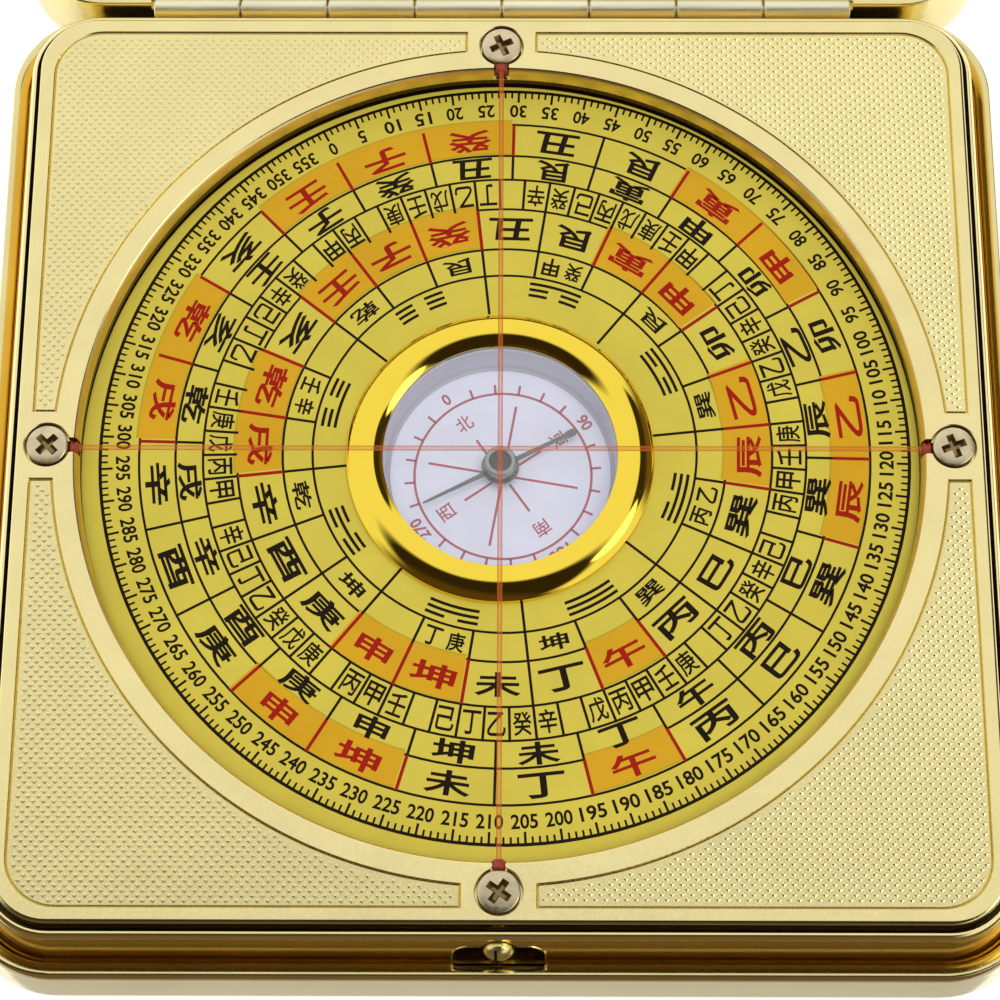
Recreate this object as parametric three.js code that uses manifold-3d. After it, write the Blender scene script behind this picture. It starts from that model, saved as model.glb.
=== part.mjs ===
// Feng shui compass in a folding square case, in millimetres, +Z up.
// The case lies open and flat: the base stands round the origin, the lid lies behind it in +Y.
// The origin is the centre of the base's underside.
import * as THREE from 'three';
import { mergeVertices } from 'three/addons/utils/BufferGeometryUtils.js';
import Module from 'manifold-3d';

const wasm = await Module();
wasm.setup();

// Counts of facets and steps
const wideFacets = 72;
const ringFacets = 48;
const boreFacets = 32;
const smallFacets = 24;
const tinyFacets = 16;
const cornerSteps = 7;
const filletSteps = 3;
const wallSteps = 5;

// Shared clearances
const clearance = 0.3;
const screwGap = 0.15;
const pinGap = 0.1;
const snapGap = 0.1;
const overrun = 1;

// The case: two equal shells that meet rim to rim
const caseWidth = 80;
const caseCorner = 7;
const halfDepth = 6.4;
const rimGap = 0.3;
const shellWall = 1;
const shellFloor = 0.9;
const sideDraft = 0.4;
const footRound = 0.8;
const rimRound = 0.25;

const caseHalf = caseWidth / 2;
const rimTop = halfDepth - rimGap / 2;
const shellInner = caseHalf - shellWall;
const shellInnerCorner = caseCorner - shellWall;

// The hinge: two leaves with alternate knuckles round one pin
const hingeLength = 57.8;
const knuckleCount = 8;
const knuckleGap = 0.15;
const barrelRadius = 0.8;
const hingePinRadius = 0.35;
const hingeSetback = 0.7;
const leafThickness = 0.4;
const leafHeight = 2.7;

const hingeY = caseHalf + hingeSetback;
const barrelBore = hingePinRadius + pinGap;
const barrelRelief = barrelRadius + clearance;
const knucklePitch = hingeLength / knuckleCount;
const knuckleLength = knucklePitch - knuckleGap;

// The platform that rises out of the base: a frame with the face plate on it
const plateInset = 2.8;
const plateCorner = 4.4;
const plateThickness = 1.9;
const plateRound = 0.35;
const ledgeWidth = 0.6;
const platformRise = 2.75;
const openingBevel = 0.25;

const frameTop = rimTop + platformRise;
const plateTop = frameTop + plateThickness;
const plateHalf = caseHalf - plateInset;
const ledgeHalf = plateHalf + ledgeWidth;
const ledgeCorner = plateCorner + ledgeWidth;
const frameHalf = shellInner - clearance;
const wallFlare = frameHalf - ledgeHalf;

// The plate screws and the posts that they bite in
const screwInset = 2.4;
const screwHeadRadius = 1.6;
const screwHeadHeight = 0.75;
const screwHeadDome = 0.15;
const screwShankRadius = 0.8;
const screwBite = 3.4;
const counterboreDepth = 0.8;
const recessWidth = 0.42;
const recessLength = 1.9;
const recessDepth = 0.5;
const postWall = 1.1;
const postHoleTip = 0.5;
const lipWall = 0.45;

const screwCircle = plateHalf - screwInset;
const screwHole = screwShankRadius + screwGap;
const counterbore = screwHeadRadius + screwGap;
const postRadius = screwHole + postWall;
const screwSeat = plateTop - counterboreDepth;

// The dial, held down by the lip of the face plate
const dialCover = 0.5;
const dialThickness = 1;
const dialHeadroom = 0.8;
const dishFloor = 1;

const openingRadius = screwCircle - counterbore - lipWall;
const dialRadius = openingRadius + dialCover;
const dialTop = frameTop - dialHeadroom;
const dialUnder = dialTop - dialThickness;
const dishTop = dialUnder - clearance;
const dishRadius = dialRadius + clearance;
const frameUnder = dishTop - dishFloor;

// The needle's well at the dial's centre
const windowRadius = 9.1;
const windowLip = 0.15;
const cupInset = 0.1;
const cupWall = 1.3;
const cupFloor = 0.6;
const cupDepth = 3.7;
const flangeReach = 0.7;
const flangeThickness = 0.3;
const glassThickness = 0.4;
const glassSeat = 0.9;
const cardThickness = 0.3;
const bezelWidth = 2.7;
const bezelFoot = 0.45;
const rollRadius = 0.75;
const rollSpan = THREE.MathUtils.degToRad(130);

const bezelRadius = windowRadius + bezelWidth;
const cupInner = windowRadius - cupInset;
const cupOuter = cupInner + cupWall;
const flangeRadius = cupOuter + flangeReach;
const flangeTop = dialTop + flangeThickness;
const cupFloorTop = flangeTop - cupDepth;
const glassRadius = cupInner + glassSeat;
const glassTop = flangeTop + glassThickness;
const cardRadius = cupInner - clearance;
const cardTop = cupFloorTop + cardThickness;

// The bush under the dial and the clip that keeps it down
const bushWall = 1.2;
const bushFoot = 0.5;
const clipThickness = 0.4;
const clipGroove = 0.5;
const clipReach = 1.2;
const clipGapWidth = 5;

const bushInner = cupOuter + clearance;
const bushOuter = bushInner + bushWall;
const frameBore = bushOuter + clearance;
const clipTop = frameUnder - clearance;
const clipUnder = clipTop - clipThickness;
const bushUnder = clipUnder - snapGap - bushFoot;

// The needle on its pivot
const pivotRadius = 0.45;
const pivotHeight = 2.2;
const pivotConeHeight = 1.3;
const pivotTipRadius = 0.08;
const capRadius = 1.25;
const capHeight = 1.7;
const capLift = 0.9;
const capMouth = 0.75;
const capWallTop = 0.3;
const capDishRadius = 0.85;
const capDishDepth = 0.35;
const needleReach = 6.75;
const needleThickness = 0.18;
const needleLift = 0.35;
const needleRootWidth = 0.6;
const needleTipWidth = 0.12;
const needleTailWidth = 0.9;
const needleTailLength = 1.1;
const needleRing = 0.35;
const needleHeading = THREE.MathUtils.degToRad(243);

// The sight threads that cross over the dial
const threadRadius = 0.2;
const threadSpacing = 0.5;
const threadDrop = 0.1;
const knotRadius = 0.42;
const knotLength = 0.5;
const notchWidth = 1.2;
const notchDepth = 1.25;

// The latch: a sprung stud in the platform's front wall
const studWidth = 2.1;
const studRadius = 0.8;
const studRise = 1.15;
const studInset = 0.2;
const studShank = 0.4;
const studTravel = 0.5;
const rivetRadius = 0.75;
const rivetThickness = 0.3;
const archWidth = 6.9;
const archCorner = 1.5;
const archGap = 0.15;
const pocketSide = 1.75;
const pocketSkin = 0.2;
const springThickness = 0.25;
const springHeight = 1.5;

const studZ = rimTop + studRise;
const archTop = studZ + studRadius + archGap;
const pocketTop = archTop + archGap;
const pocketHalf = archWidth / 2 + pocketSide;
const pocketFront = ledgeHalf - pocketSkin;
const springFront = pocketFront - clearance;
const springHalf = pocketHalf - clearance;
const rivetFront = springFront - springThickness - snapGap;
const pocketBack = rivetFront - rivetThickness - studTravel - snapGap;

// The lining plate in the lid
const liningThickness = 0.4;
const liningTop = shellFloor - halfDepth + liningThickness;

// Makes a closed solid of a geometry, with its corners shared and its empty triangles left out.
function asSolid(geometry) {
  const bare = geometry.clone();
  bare.deleteAttribute('normal');
  bare.deleteAttribute('uv');
  const merged = mergeVertices(bare);
  const corners = merged.index.array;
  const triangles = [];
  for (let i = 0; i < corners.length; i += 3) {
    const [a, b, c] = corners.slice(i, i + 3);
    if (a !== b && b !== c && c !== a) triangles.push(a, b, c);
  }
  return new wasm.Manifold(new wasm.Mesh({
    numProp: 3,
    vertProperties: Float32Array.from(merged.attributes.position.array),
    triVerts: Uint32Array.from(triangles),
  }));
}

// Makes a geometry of a closed solid.
function asGeometry(solid) {
  const mesh = solid.getMesh();
  const geometry = new THREE.BufferGeometry();
  geometry.setAttribute('position', new THREE.BufferAttribute(Float32Array.from(mesh.vertProperties), 3));
  geometry.setIndex(Array.from(mesh.triVerts));
  geometry.computeVertexNormals();
  return geometry;
}

// Joins geometries into one.
function join(first, ...others) {
  return asGeometry(others.reduce((solid, other) => solid.add(asSolid(other)), asSolid(first)));
}

// Cuts every tool out of a body.
function cut(body, ...tools) {
  return asGeometry(tools.reduce((solid, tool) => solid.subtract(asSolid(tool)), asSolid(body)));
}

// A round solid about Z. Its outline is a list of [radius, height] points, anticlockwise,
// which starts and ends on the axis, or closes on itself.
function turned(outline, facets) {
  const points = outline.map(([radius, height]) => new THREE.Vector2(radius, height));
  return new THREE.LatheGeometry(points, facets).rotateX(Math.PI / 2);
}

// A round plug about Z between two heights.
function plug(radius, low, high, facets) {
  return turned([[0, low], [radius, low], [radius, high], [0, high]], facets);
}

// A round ring about Z between two radii and two heights.
function washer(inner, outer, low, high, facets) {
  return turned([[inner, low], [outer, low], [outer, high], [inner, high], [inner, low]], facets);
}

// A box between two corners.
function block([x0, y0, z0], [x1, y1, z1]) {
  const box = new THREE.BoxGeometry(x1 - x0, y1 - y0, z1 - z0);
  return box.translate((x0 + x1) / 2, (y0 + y1) / 2, (z0 + z1) / 2);
}

// A round bar along X.
function barAlongX(radius, length, facets) {
  return new THREE.CylinderGeometry(radius, radius, length, facets).rotateZ(Math.PI / 2);
}

// The points of a square with round corners at one height, anticlockwise from above.
function squareRing(half, corner, height) {
  const ring = [];
  const centre = half - corner;
  for (let side = 0; side < 4; side += 1) {
    const [sx, sy] = [[1, 1], [-1, 1], [-1, -1], [1, -1]][side];
    for (let step = 0; step <= cornerSteps; step += 1) {
      const turn = (side + step / cornerSteps) * Math.PI / 2;
      ring.push([sx * centre + corner * Math.cos(turn), sy * centre + corner * Math.sin(turn), height]);
    }
  }
  return ring;
}

// A closed solid through a stack of square rings, listed from below as [half width, corner, height].
function stacked(levels) {
  const rings = levels.map(([half, corner, height]) => squareRing(half, corner, height));
  const count = rings[0].length;
  const index = [];
  rings.slice(1).forEach((ring, level) => {
    for (let i = 0; i < count; i += 1) {
      const [a, b] = [level * count + i, level * count + (i + 1) % count];
      index.push(a, b, b + count, a, b + count, a + count);
    }
  });
  const last = (rings.length - 1) * count;
  for (let i = 1; i < count - 1; i += 1) {
    index.push(0, i + 1, i);
    index.push(last, last + i, last + i + 1);
  }
  const geometry = new THREE.BufferGeometry();
  geometry.setAttribute('position', new THREE.Float32BufferAttribute(rings.flat(2), 3));
  geometry.setIndex(index);
  return geometry;
}

// The quarter arc that a stack's levels follow, as pairs of cosine and sine.
function quarterArc(steps) {
  return Array.from({ length: steps + 1 }, (_, step) => {
    const turn = step / steps * Math.PI / 2;
    return [Math.cos(turn), Math.sin(turn)];
  });
}

// A finish of one colour.
function finish(color, roughness, metalness) {
  return new THREE.MeshStandardMaterial({ color, roughness, metalness });
}

// A named mesh in a group.
function addPiece(group, name, geometry, material) {
  const mesh = new THREE.Mesh(join(geometry), material);
  mesh.name = name;
  group.add(mesh);
}

const satinGold = () => finish(0xc9bf8a, 0.45, 0.9);
const polishedGold = () => finish(0xe8bd3a, 0.15, 1);
const paleGold = () => finish(0xe9da9b, 0.35, 0.8);
const springSteel = () => finish(0xb8b8b4, 0.3, 1);

// The outer form of a shell about its own centre, from its face on the table up to its rim.
function shellForm() {
  const footHalf = caseHalf - sideDraft;
  const footCorner = caseCorner - sideDraft;
  const levels = quarterArc(filletSteps).reverse().map(([cos, sin]) => [
    footHalf - footRound * (1 - cos),
    footCorner - footRound * (1 - cos),
    footRound * (1 - sin),
  ]);
  quarterArc(filletSteps).forEach(([cos, sin]) => {
    levels.push([
      caseHalf - rimRound * (1 - cos),
      caseCorner - rimRound * (1 - cos),
      rimTop - rimRound * (1 - sin),
    ]);
  });
  return stacked(levels);
}

// The hollow of a shell, open at the rim.
function shellHollow() {
  const lean = sideDraft * overrun / rimTop;
  return stacked([
    [shellInner - sideDraft, shellInnerCorner - sideDraft, shellFloor],
    [shellInner, shellInnerCorner, rimTop],
    [shellInner + lean, shellInnerCorner + lean, rimTop + overrun],
  ]);
}

// The relief in a shell's edge round the hinge barrels.
function hingeRelief() {
  return barAlongX(barrelRelief, hingeLength + 2 * clearance, smallFacets)
    .translate(0, hingeY, halfDepth);
}

// The four places of the plate screws, as angles about Z.
const screwAngles = [0, 1, 2, 3].map((quarter) => quarter * Math.PI / 2);

function atScrew(geometry, angle) {
  return geometry.translate(screwCircle * Math.cos(angle), screwCircle * Math.sin(angle), 0);
}

// The base shell: a tray with a post under each plate screw.
function baseShell() {
  const posts = screwAngles.map((angle) => atScrew(
    plug(postRadius, shellFloor / 2, frameUnder, smallFacets),
    angle,
  ));
  const holeUnder = frameUnder - screwBite - postHoleTip;
  const holes = screwAngles.map((angle) => atScrew(
    plug(screwHole, holeUnder, frameUnder + overrun, smallFacets),
    angle,
  ));
  return cut(join(cut(shellForm(), shellHollow(), hingeRelief()), ...posts), ...holes);
}

// The frame: the polished wall of the platform, with the dish that the dial turns in.
function innerFrame() {
  const levels = [[frameHalf, ledgeCorner + wallFlare, frameUnder]];
  quarterArc(wallSteps).forEach(([cos, sin]) => {
    levels.push([
      ledgeHalf + wallFlare * cos,
      ledgeCorner + wallFlare * cos,
      rimTop + platformRise * sin,
    ]);
  });
  const dish = plug(dishRadius, dishTop, frameTop + overrun, wideFacets);
  const bore = plug(frameBore, frameUnder - overrun, frameTop, boreFacets);
  const holes = screwAngles.map((angle) => atScrew(
    plug(screwHole, frameUnder - overrun, frameTop + overrun, smallFacets),
    angle,
  ));
  return cut(stacked(levels), dish, bore, latchPocket(), latchArch(), ...holes);
}

// The pocket behind the front wall, for the latch spring.
function latchPocket() {
  return block(
    [-pocketHalf, -pocketFront, frameUnder - overrun],
    [pocketHalf, -pocketBack, pocketTop],
  );
}

// The arched window in the front wall, for the latch stud.
function latchArch() {
  const half = archWidth / 2;
  const foot = frameUnder - overrun;
  const shape = new THREE.Shape()
    .moveTo(-half, foot)
    .lineTo(half, foot)
    .lineTo(half, archTop - archCorner)
    .absarc(half - archCorner, archTop - archCorner, archCorner, 0, Math.PI / 2)
    .absarc(archCorner - half, archTop - archCorner, archCorner, Math.PI / 2, Math.PI);
  const depth = frameHalf + overrun - (pocketFront + pocketBack) / 2;
  const arch = new THREE.ExtrudeGeometry(shape, { depth, bevelEnabled: false, curveSegments: cornerSteps });
  return arch.rotateX(Math.PI / 2).translate(0, depth - frameHalf - overrun, 0);
}

// The face plate, with the dial's opening, the screw seats and the notches for the threads.
function facePlate() {
  const levels = [[plateHalf, plateCorner, frameTop]];
  quarterArc(filletSteps).forEach(([cos, sin]) => {
    levels.push([
      plateHalf - plateRound * (1 - cos),
      plateCorner - plateRound * (1 - cos),
      plateTop - plateRound * (1 - sin),
    ]);
  });
  const opening = turned([
    [0, frameTop - overrun],
    [openingRadius, frameTop - overrun],
    [openingRadius, plateTop - openingBevel],
    [openingRadius + openingBevel, plateTop],
    [openingRadius + openingBevel, plateTop + overrun],
    [0, plateTop + overrun],
  ], wideFacets);
  const cuts = [opening];
  screwAngles.forEach((angle) => {
    cuts.push(atScrew(plug(counterbore, screwSeat, plateTop + overrun, smallFacets), angle));
    cuts.push(atScrew(plug(screwHole, frameTop - overrun, plateTop, smallFacets), angle));
    cuts.push(block(
      [openingRadius - overrun, -notchWidth / 2, plateTop - notchDepth],
      [screwCircle, notchWidth / 2, plateTop + overrun],
    ).rotateZ(angle));
  });
  return cut(stacked(levels), ...cuts);
}

// A plate screw about Z, its head's underside on the seat, turned to show its cross recess.
function plateScrew(turn) {
  const headTop = screwSeat + screwHeadHeight;
  const tip = frameUnder - screwBite;
  const body = turned([
    [0, tip],
    [screwShankRadius, tip + postHoleTip],
    [screwShankRadius, screwSeat],
    [screwHeadRadius, screwSeat],
    [screwHeadRadius, headTop],
    [screwHeadRadius / 2, headTop + screwHeadDome],
    [0, headTop + screwHeadDome],
  ], smallFacets);
  const recesses = [0, Math.PI / 2].map((quarter) => block(
    [-recessLength / 2, -recessWidth / 2, headTop + screwHeadDome - recessDepth],
    [recessLength / 2, recessWidth / 2, headTop + screwHeadDome + overrun],
  ).rotateZ(turn + quarter));
  return cut(body, ...recesses);
}

// A sight thread along X, with a knot in the notch at each end.
function sightThread(height) {
  const knotCentre = openingRadius + lipWall / 2;
  const knot = quarterArc(filletSteps).map(([cos, sin]) => [
    knotRadius * cos,
    knotCentre + knotLength / 2 * sin,
  ]);
  const grip = quarterArc(filletSteps).reverse()
    .map(([cos, sin]) => [knotRadius * cos, knotCentre - knotLength / 2 * sin])
    .filter(([radius]) => radius > threadRadius);
  const half = [[threadRadius, knotCentre - knotLength / 2], ...grip, ...knot.slice(1)];
  const outline = [...half.slice().reverse().map(([radius, along]) => [radius, -along]), ...half];
  return turned(outline, tinyFacets).rotateY(Math.PI / 2).translate(0, 0, height);
}

// A hinge leaf in the lid's frame: a strip along the shell with every other knuckle.
function hingeLeaf() {
  const stripTop = -barrelRelief;
  const leafOuter = hingeSetback;
  const leafInner = hingeSetback - leafThickness;
  const half = hingeLength / 2;
  const pieces = [block([-half, leafInner, stripTop - leafHeight], [half, leafOuter, stripTop])];
  for (let knuckle = 0; knuckle < knuckleCount; knuckle += 2) {
    const centre = -half + (knuckle + 0.5) * knucklePitch;
    pieces.push(barAlongX(barrelRadius, knuckleLength, tinyFacets).translate(centre, 0, 0));
    pieces.push(block(
      [centre - knuckleLength / 2, leafInner, stripTop - leafHeight / 2],
      [centre + knuckleLength / 2, leafOuter, 0],
    ));
  }
  return cut(join(...pieces), barAlongX(barrelBore, hingeLength + overrun, tinyFacets));
}

function hingePin() {
  return barAlongX(hingePinRadius, hingeLength - knuckleGap, tinyFacets).translate(0, hingeY, halfDepth);
}

// The latch spring: a bowed strip whose ends bear on the back of the pocket.
function latchSpring() {
  const endFront = pocketBack + clearance + springThickness;
  const rise = springFront - endFront;
  const bow = (springHalf * springHalf + rise * rise) / (2 * rise);
  const sweep = Math.asin(springHalf / bow);
  const [start, end] = [Math.PI * 1.5 - sweep, Math.PI * 1.5 + sweep];
  const shape = new THREE.Shape()
    .absarc(0, 0, bow, start, end)
    .absarc(0, 0, bow - springThickness, end, start, true);
  const strip = new THREE.ExtrudeGeometry(shape, {
    depth: springHeight,
    bevelEnabled: false,
    curveSegments: cornerSteps,
  });
  strip.translate(0, bow - springFront, studZ - springHeight / 2);
  const hole = plug(studShank + pinGap, -springFront - overrun, -springFront + overrun, tinyFacets)
    .rotateX(-Math.PI / 2)
    .translate(0, 0, studZ);
  return cut(strip, hole);
}

// Half the width of the platform's wall at one height.
function wallHalfAt(height) {
  const share = (height - rimTop) / platformRise;
  return ledgeHalf + wallFlare * Math.sqrt(1 - share * share);
}

const studHalf = wallHalfAt(studZ) - studInset;

// The rounded head of the latch stud, grown by a gap.
function studHead(gap) {
  const head = new THREE.SphereGeometry(studRadius + gap, tinyFacets, tinyFacets / 2);
  return head.scale((studWidth / 2 + gap) / (studRadius + gap), 1, 1);
}

// The latch stud about its head's centre: a head, a shank and a rivet head behind the spring.
function latchStud() {
  const rivetOff = studHalf - rivetFront;
  const tail = turned([
    [0, 0],
    [studShank, 0],
    [studShank, rivetOff],
    [rivetRadius, rivetOff],
    [rivetRadius, rivetOff + rivetThickness],
    [0, rivetOff + rivetThickness],
  ], tinyFacets).rotateX(-Math.PI / 2);
  return join(studHead(0), tail);
}

// The dial disc, bored for the cup.
function dialDisc() {
  return washer(bushInner, dialRadius, dialUnder, dialTop, wideFacets);
}

// The cup that holds the needle, hung on the dial by its flange.
function capsuleCup() {
  return turned([
    [0, cupFloorTop - cupFloor],
    [cupOuter, cupFloorTop - cupFloor],
    [cupOuter, dialTop],
    [flangeRadius, dialTop],
    [flangeRadius, flangeTop],
    [cupInner, flangeTop],
    [cupInner, cupFloorTop],
    [0, cupFloorTop],
  ], boreFacets);
}

// The bezel: a rounded ring whose inner lip holds the glass down.
function bezelRing() {
  const rollCentre = bezelRadius - rollRadius;
  const rollHeight = dialTop + bezelFoot;
  const roll = Array.from({ length: cornerSteps + 1 }, (_, step) => {
    const turn = step / cornerSteps * rollSpan;
    return [rollCentre + rollRadius * Math.cos(turn), rollHeight + rollRadius * Math.sin(turn)];
  });
  const glassRebate = glassRadius + clearance;
  const flangeRebate = flangeRadius + clearance;
  return turned([
    [flangeRebate, dialTop],
    [bezelRadius, dialTop],
    ...roll,
    [windowRadius, glassTop + windowLip],
    [windowRadius, glassTop],
    [glassRebate, glassTop],
    [glassRebate, flangeTop],
    [flangeRebate, flangeTop],
    [flangeRebate, dialTop],
  ], ringFacets);
}

// The bush that turns in the frame's bore, grooved for the clip.
function dialBush() {
  const grooveRadius = bushOuter - clipGroove;
  return turned([
    [bushInner, bushUnder],
    [bushOuter, bushUnder],
    [bushOuter, clipUnder - snapGap],
    [grooveRadius, clipUnder - snapGap],
    [grooveRadius, clipTop + snapGap],
    [bushOuter, clipTop + snapGap],
    [bushOuter, dialUnder],
    [bushInner, dialUnder],
    [bushInner, bushUnder],
  ], boreFacets);
}

// The open spring clip in the bush's groove.
function dialClip() {
  const inner = bushOuter - clipGroove + snapGap;
  const outer = bushOuter + clipReach;
  const ring = washer(inner, outer, clipUnder, clipTop, boreFacets);
  return cut(ring, block(
    [0, -clipGapWidth / 2, clipUnder - overrun],
    [outer + overrun, clipGapWidth / 2, clipTop + overrun],
  ));
}

// The pivot pin, which stands on the cup's floor and passes through the card.
function needlePivot() {
  const tip = cupFloorTop + pivotHeight;
  return turned([
    [0, cupFloorTop],
    [pivotRadius, cupFloorTop],
    [pivotRadius, tip - pivotConeHeight],
    [pivotTipRadius, tip],
    [0, tip],
  ], tinyFacets);
}

// The card, holed for the pivot.
function compassCard() {
  return washer(pivotRadius + clearance, cardRadius, cupFloorTop, cardTop, boreFacets);
}

// The needle's cap, with a cone below for the pivot's tip and a dished top.
function needleCap() {
  const under = cardTop + capLift;
  const top = under + capHeight;
  return turned([
    [0, top - capDishDepth - capWallTop],
    [capMouth, under],
    [capRadius, under],
    [capRadius, top],
    [capDishRadius, top],
    [capDishRadius, top - capDishDepth],
    [0, top - capDishDepth],
  ], smallFacets);
}

// The needle along Y: a ring round the cap, a pointed arm and a tail arm.
function compassNeedle() {
  const under = cardTop + capLift + needleLift;
  const tailRoot = needleReach - needleTailLength;
  const arms = new THREE.Shape([
    [needleTipWidth / 2, needleReach],
    [-needleTipWidth / 2, needleReach],
    [-needleRootWidth / 2, 0],
    [-needleRootWidth / 4, -tailRoot],
    [-needleTailWidth / 2, -needleReach + needleTailWidth / 2],
    [0, -needleReach],
    [needleTailWidth / 2, -needleReach + needleTailWidth / 2],
    [needleRootWidth / 4, -tailRoot],
    [needleRootWidth / 2, 0],
  ].map(([x, y]) => new THREE.Vector2(x, y)));
  const strip = new THREE.ExtrudeGeometry(arms, { depth: needleThickness, bevelEnabled: false });
  const bore = capRadius + snapGap / 2;
  return cut(
    join(
      strip.translate(0, 0, under),
      plug(bore + needleRing, under, under + needleThickness, smallFacets),
    ),
    plug(bore, under - overrun, under + overrun, smallFacets),
  );
}

// The lid shell in the lid's frame: hinge axis at the origin, rim up, with the catch hollow for the stud.
function lidShell() {
  const catchHollow = studHead(snapGap).translate(0, hingeY + studHalf, halfDepth - studZ);
  return cut(
    cut(shellForm(), shellHollow(), hingeRelief()).rotateZ(Math.PI).translate(0, hingeY, -halfDepth),
    catchHollow,
  );
}

// The lining plate on the lid's floor.
function lidLining() {
  const under = shellFloor - halfDepth;
  const lean = sideDraft * (rimTop - shellFloor - liningThickness) / (rimTop - shellFloor);
  const half = shellInner - lean - clearance;
  const corner = shellInnerCorner - lean - clearance;
  return stacked([
    [half, corner, under],
    [half, corner, liningTop],
  ]).translate(0, hingeY, 0);
}

// The base, with what is screwed or fixed to it.
function baseGroup() {
  const group = new THREE.Group();
  addPiece(group, 'base_shell', baseShell(), satinGold());
  addPiece(group, 'inner_frame', innerFrame(), polishedGold());
  addPiece(group, 'face_plate', facePlate(), paleGold());
  const leaf = hingeLeaf().rotateZ(Math.PI).translate(0, hingeY, halfDepth);
  addPiece(group, 'base_hinge_leaf', leaf, satinGold());
  addPiece(group, 'hinge_pin', hingePin(), springSteel());
  addPiece(group, 'latch_spring', latchSpring(), springSteel());

  const screws = ['right', 'back', 'left', 'front'];
  const screwTurns = [20, 25, 75, 55].map(THREE.MathUtils.degToRad);
  screws.forEach((side, place) => {
    const screw = atScrew(plateScrew(screwTurns[place]), screwAngles[place]);
    addPiece(group, `plate_screw_${side}`, screw, springSteel());
  });

  const threadTop = plateTop - threadDrop;
  const orange = () => finish(0xd9641e, 0.3, 0);
  addPiece(group, 'sight_thread_across', sightThread(threadTop - threadSpacing), orange());
  addPiece(group, 'sight_thread_along', sightThread(threadTop).rotateZ(Math.PI / 2), orange());
  return group;
}

// The dial, with the needle's well that turns with it.
function dialGroup() {
  const group = new THREE.Group();
  addPiece(group, 'dial_disc', dialDisc(), finish(0xdccb4b, 0.45, 0.1));
  addPiece(group, 'dial_bush', dialBush(), polishedGold());
  addPiece(group, 'dial_clip', dialClip(), springSteel());
  addPiece(group, 'capsule_cup', capsuleCup(), finish(0xe2e2ea, 0.5, 0));
  addPiece(group, 'bezel_ring', bezelRing(), polishedGold());
  const glass = finish(0xf4f8fa, 0.05, 0);
  glass.transparent = true;
  glass.opacity = 0.25;
  addPiece(group, 'capsule_glass', plug(glassRadius, flangeTop, glassTop, ringFacets), glass);
  addPiece(group, 'compass_card', compassCard(), finish(0xdcdcec, 0.6, 0));
  addPiece(group, 'needle_pivot', needlePivot(), springSteel());
  group.add(needleGroup());
  return group;
}

// The needle and its cap, turned to the needle's heading, clockwise from +Y.
function needleGroup() {
  const group = new THREE.Group();
  addPiece(group, 'needle', compassNeedle(), finish(0x777d7a, 0.35, 0.9));
  addPiece(group, 'needle_cap', needleCap(), finish(0x9a9d94, 0.3, 0.9));
  group.rotation.z = -needleHeading;
  return group;
}

// The lid, hung on the hinge axis and laid open.
function lidGroup() {
  const group = new THREE.Group();
  addPiece(group, 'lid_shell', lidShell(), satinGold());
  addPiece(group, 'lid_lining', lidLining(), paleGold());
  addPiece(group, 'lid_hinge_leaf', hingeLeaf(), satinGold());
  group.position.set(0, hingeY, halfDepth);
  return group;
}

// The latch stud, in its window in the front wall.
function latchGroup() {
  const group = new THREE.Group();
  addPiece(group, 'latch_stud', latchStud(), polishedGold());
  group.position.set(0, -studHalf, studZ);
  return group;
}

const compass = new THREE.Group();
compass.add(baseGroup(), dialGroup(), lidGroup(), latchGroup());

export default compass;
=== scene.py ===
"""Dresses the folding compass: fine meshes, printed scales, finishes, light and camera.

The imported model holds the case, dial, needle, lid and latch at their real size. Every piece here
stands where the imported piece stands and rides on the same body. Sizes are in millimetres, and
angles in degrees.
"""

import logging
import math
from dataclasses import dataclass, field
from enum import Enum
from typing import Any, Callable, Iterable, Sequence

import bpy
import numpy as np
from mathutils import Matrix, Vector


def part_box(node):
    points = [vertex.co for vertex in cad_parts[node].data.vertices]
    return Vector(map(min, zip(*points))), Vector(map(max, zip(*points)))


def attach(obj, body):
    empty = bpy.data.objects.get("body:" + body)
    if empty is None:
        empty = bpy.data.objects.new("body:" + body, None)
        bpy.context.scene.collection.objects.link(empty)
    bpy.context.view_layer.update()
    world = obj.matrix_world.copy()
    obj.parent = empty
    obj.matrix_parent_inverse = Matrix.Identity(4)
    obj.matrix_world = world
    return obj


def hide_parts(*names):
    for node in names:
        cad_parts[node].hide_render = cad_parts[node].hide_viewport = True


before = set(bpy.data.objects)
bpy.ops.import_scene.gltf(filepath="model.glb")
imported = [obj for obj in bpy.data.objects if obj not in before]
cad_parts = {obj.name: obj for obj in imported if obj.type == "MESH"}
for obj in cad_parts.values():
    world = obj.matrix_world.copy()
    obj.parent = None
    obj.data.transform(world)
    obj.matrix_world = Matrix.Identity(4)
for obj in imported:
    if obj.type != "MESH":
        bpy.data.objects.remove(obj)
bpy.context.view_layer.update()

MM = 0.001
PAST = 1.0  # how far a cutting tool stands past the surface that it cuts
QUARTERS = (0, 90, 180, 270)
FLAT_WEIGHT = 60  # how far the light follows large faces before small ones, out of 100
log = logging.getLogger("compass")

Point = tuple[float, float, float]
Spot = tuple[float, float]
Outline = list[Spot]
Profile = tuple[Spot, ...]
Color = tuple[float, float, float]
Socket = bpy.types.NodeSocket


def edge(node: str, axis: int, top: bool = True) -> float:
    """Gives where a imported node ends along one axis: 0, 1 or 2, at its highest or its lowest place."""
    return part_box(node)[1 if top else 0][axis] / MM


def heights(node: str) -> Spot:
    """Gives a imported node's lowest and highest place along Z."""
    return edge(node, 2, False), edge(node, 2)


def from_pack(node: str, axis: int, top: bool = True) -> Any:
    """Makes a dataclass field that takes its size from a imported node, as edge does."""
    return field(default_factory=lambda: edge(node, axis, top))


# Shapes


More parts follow.
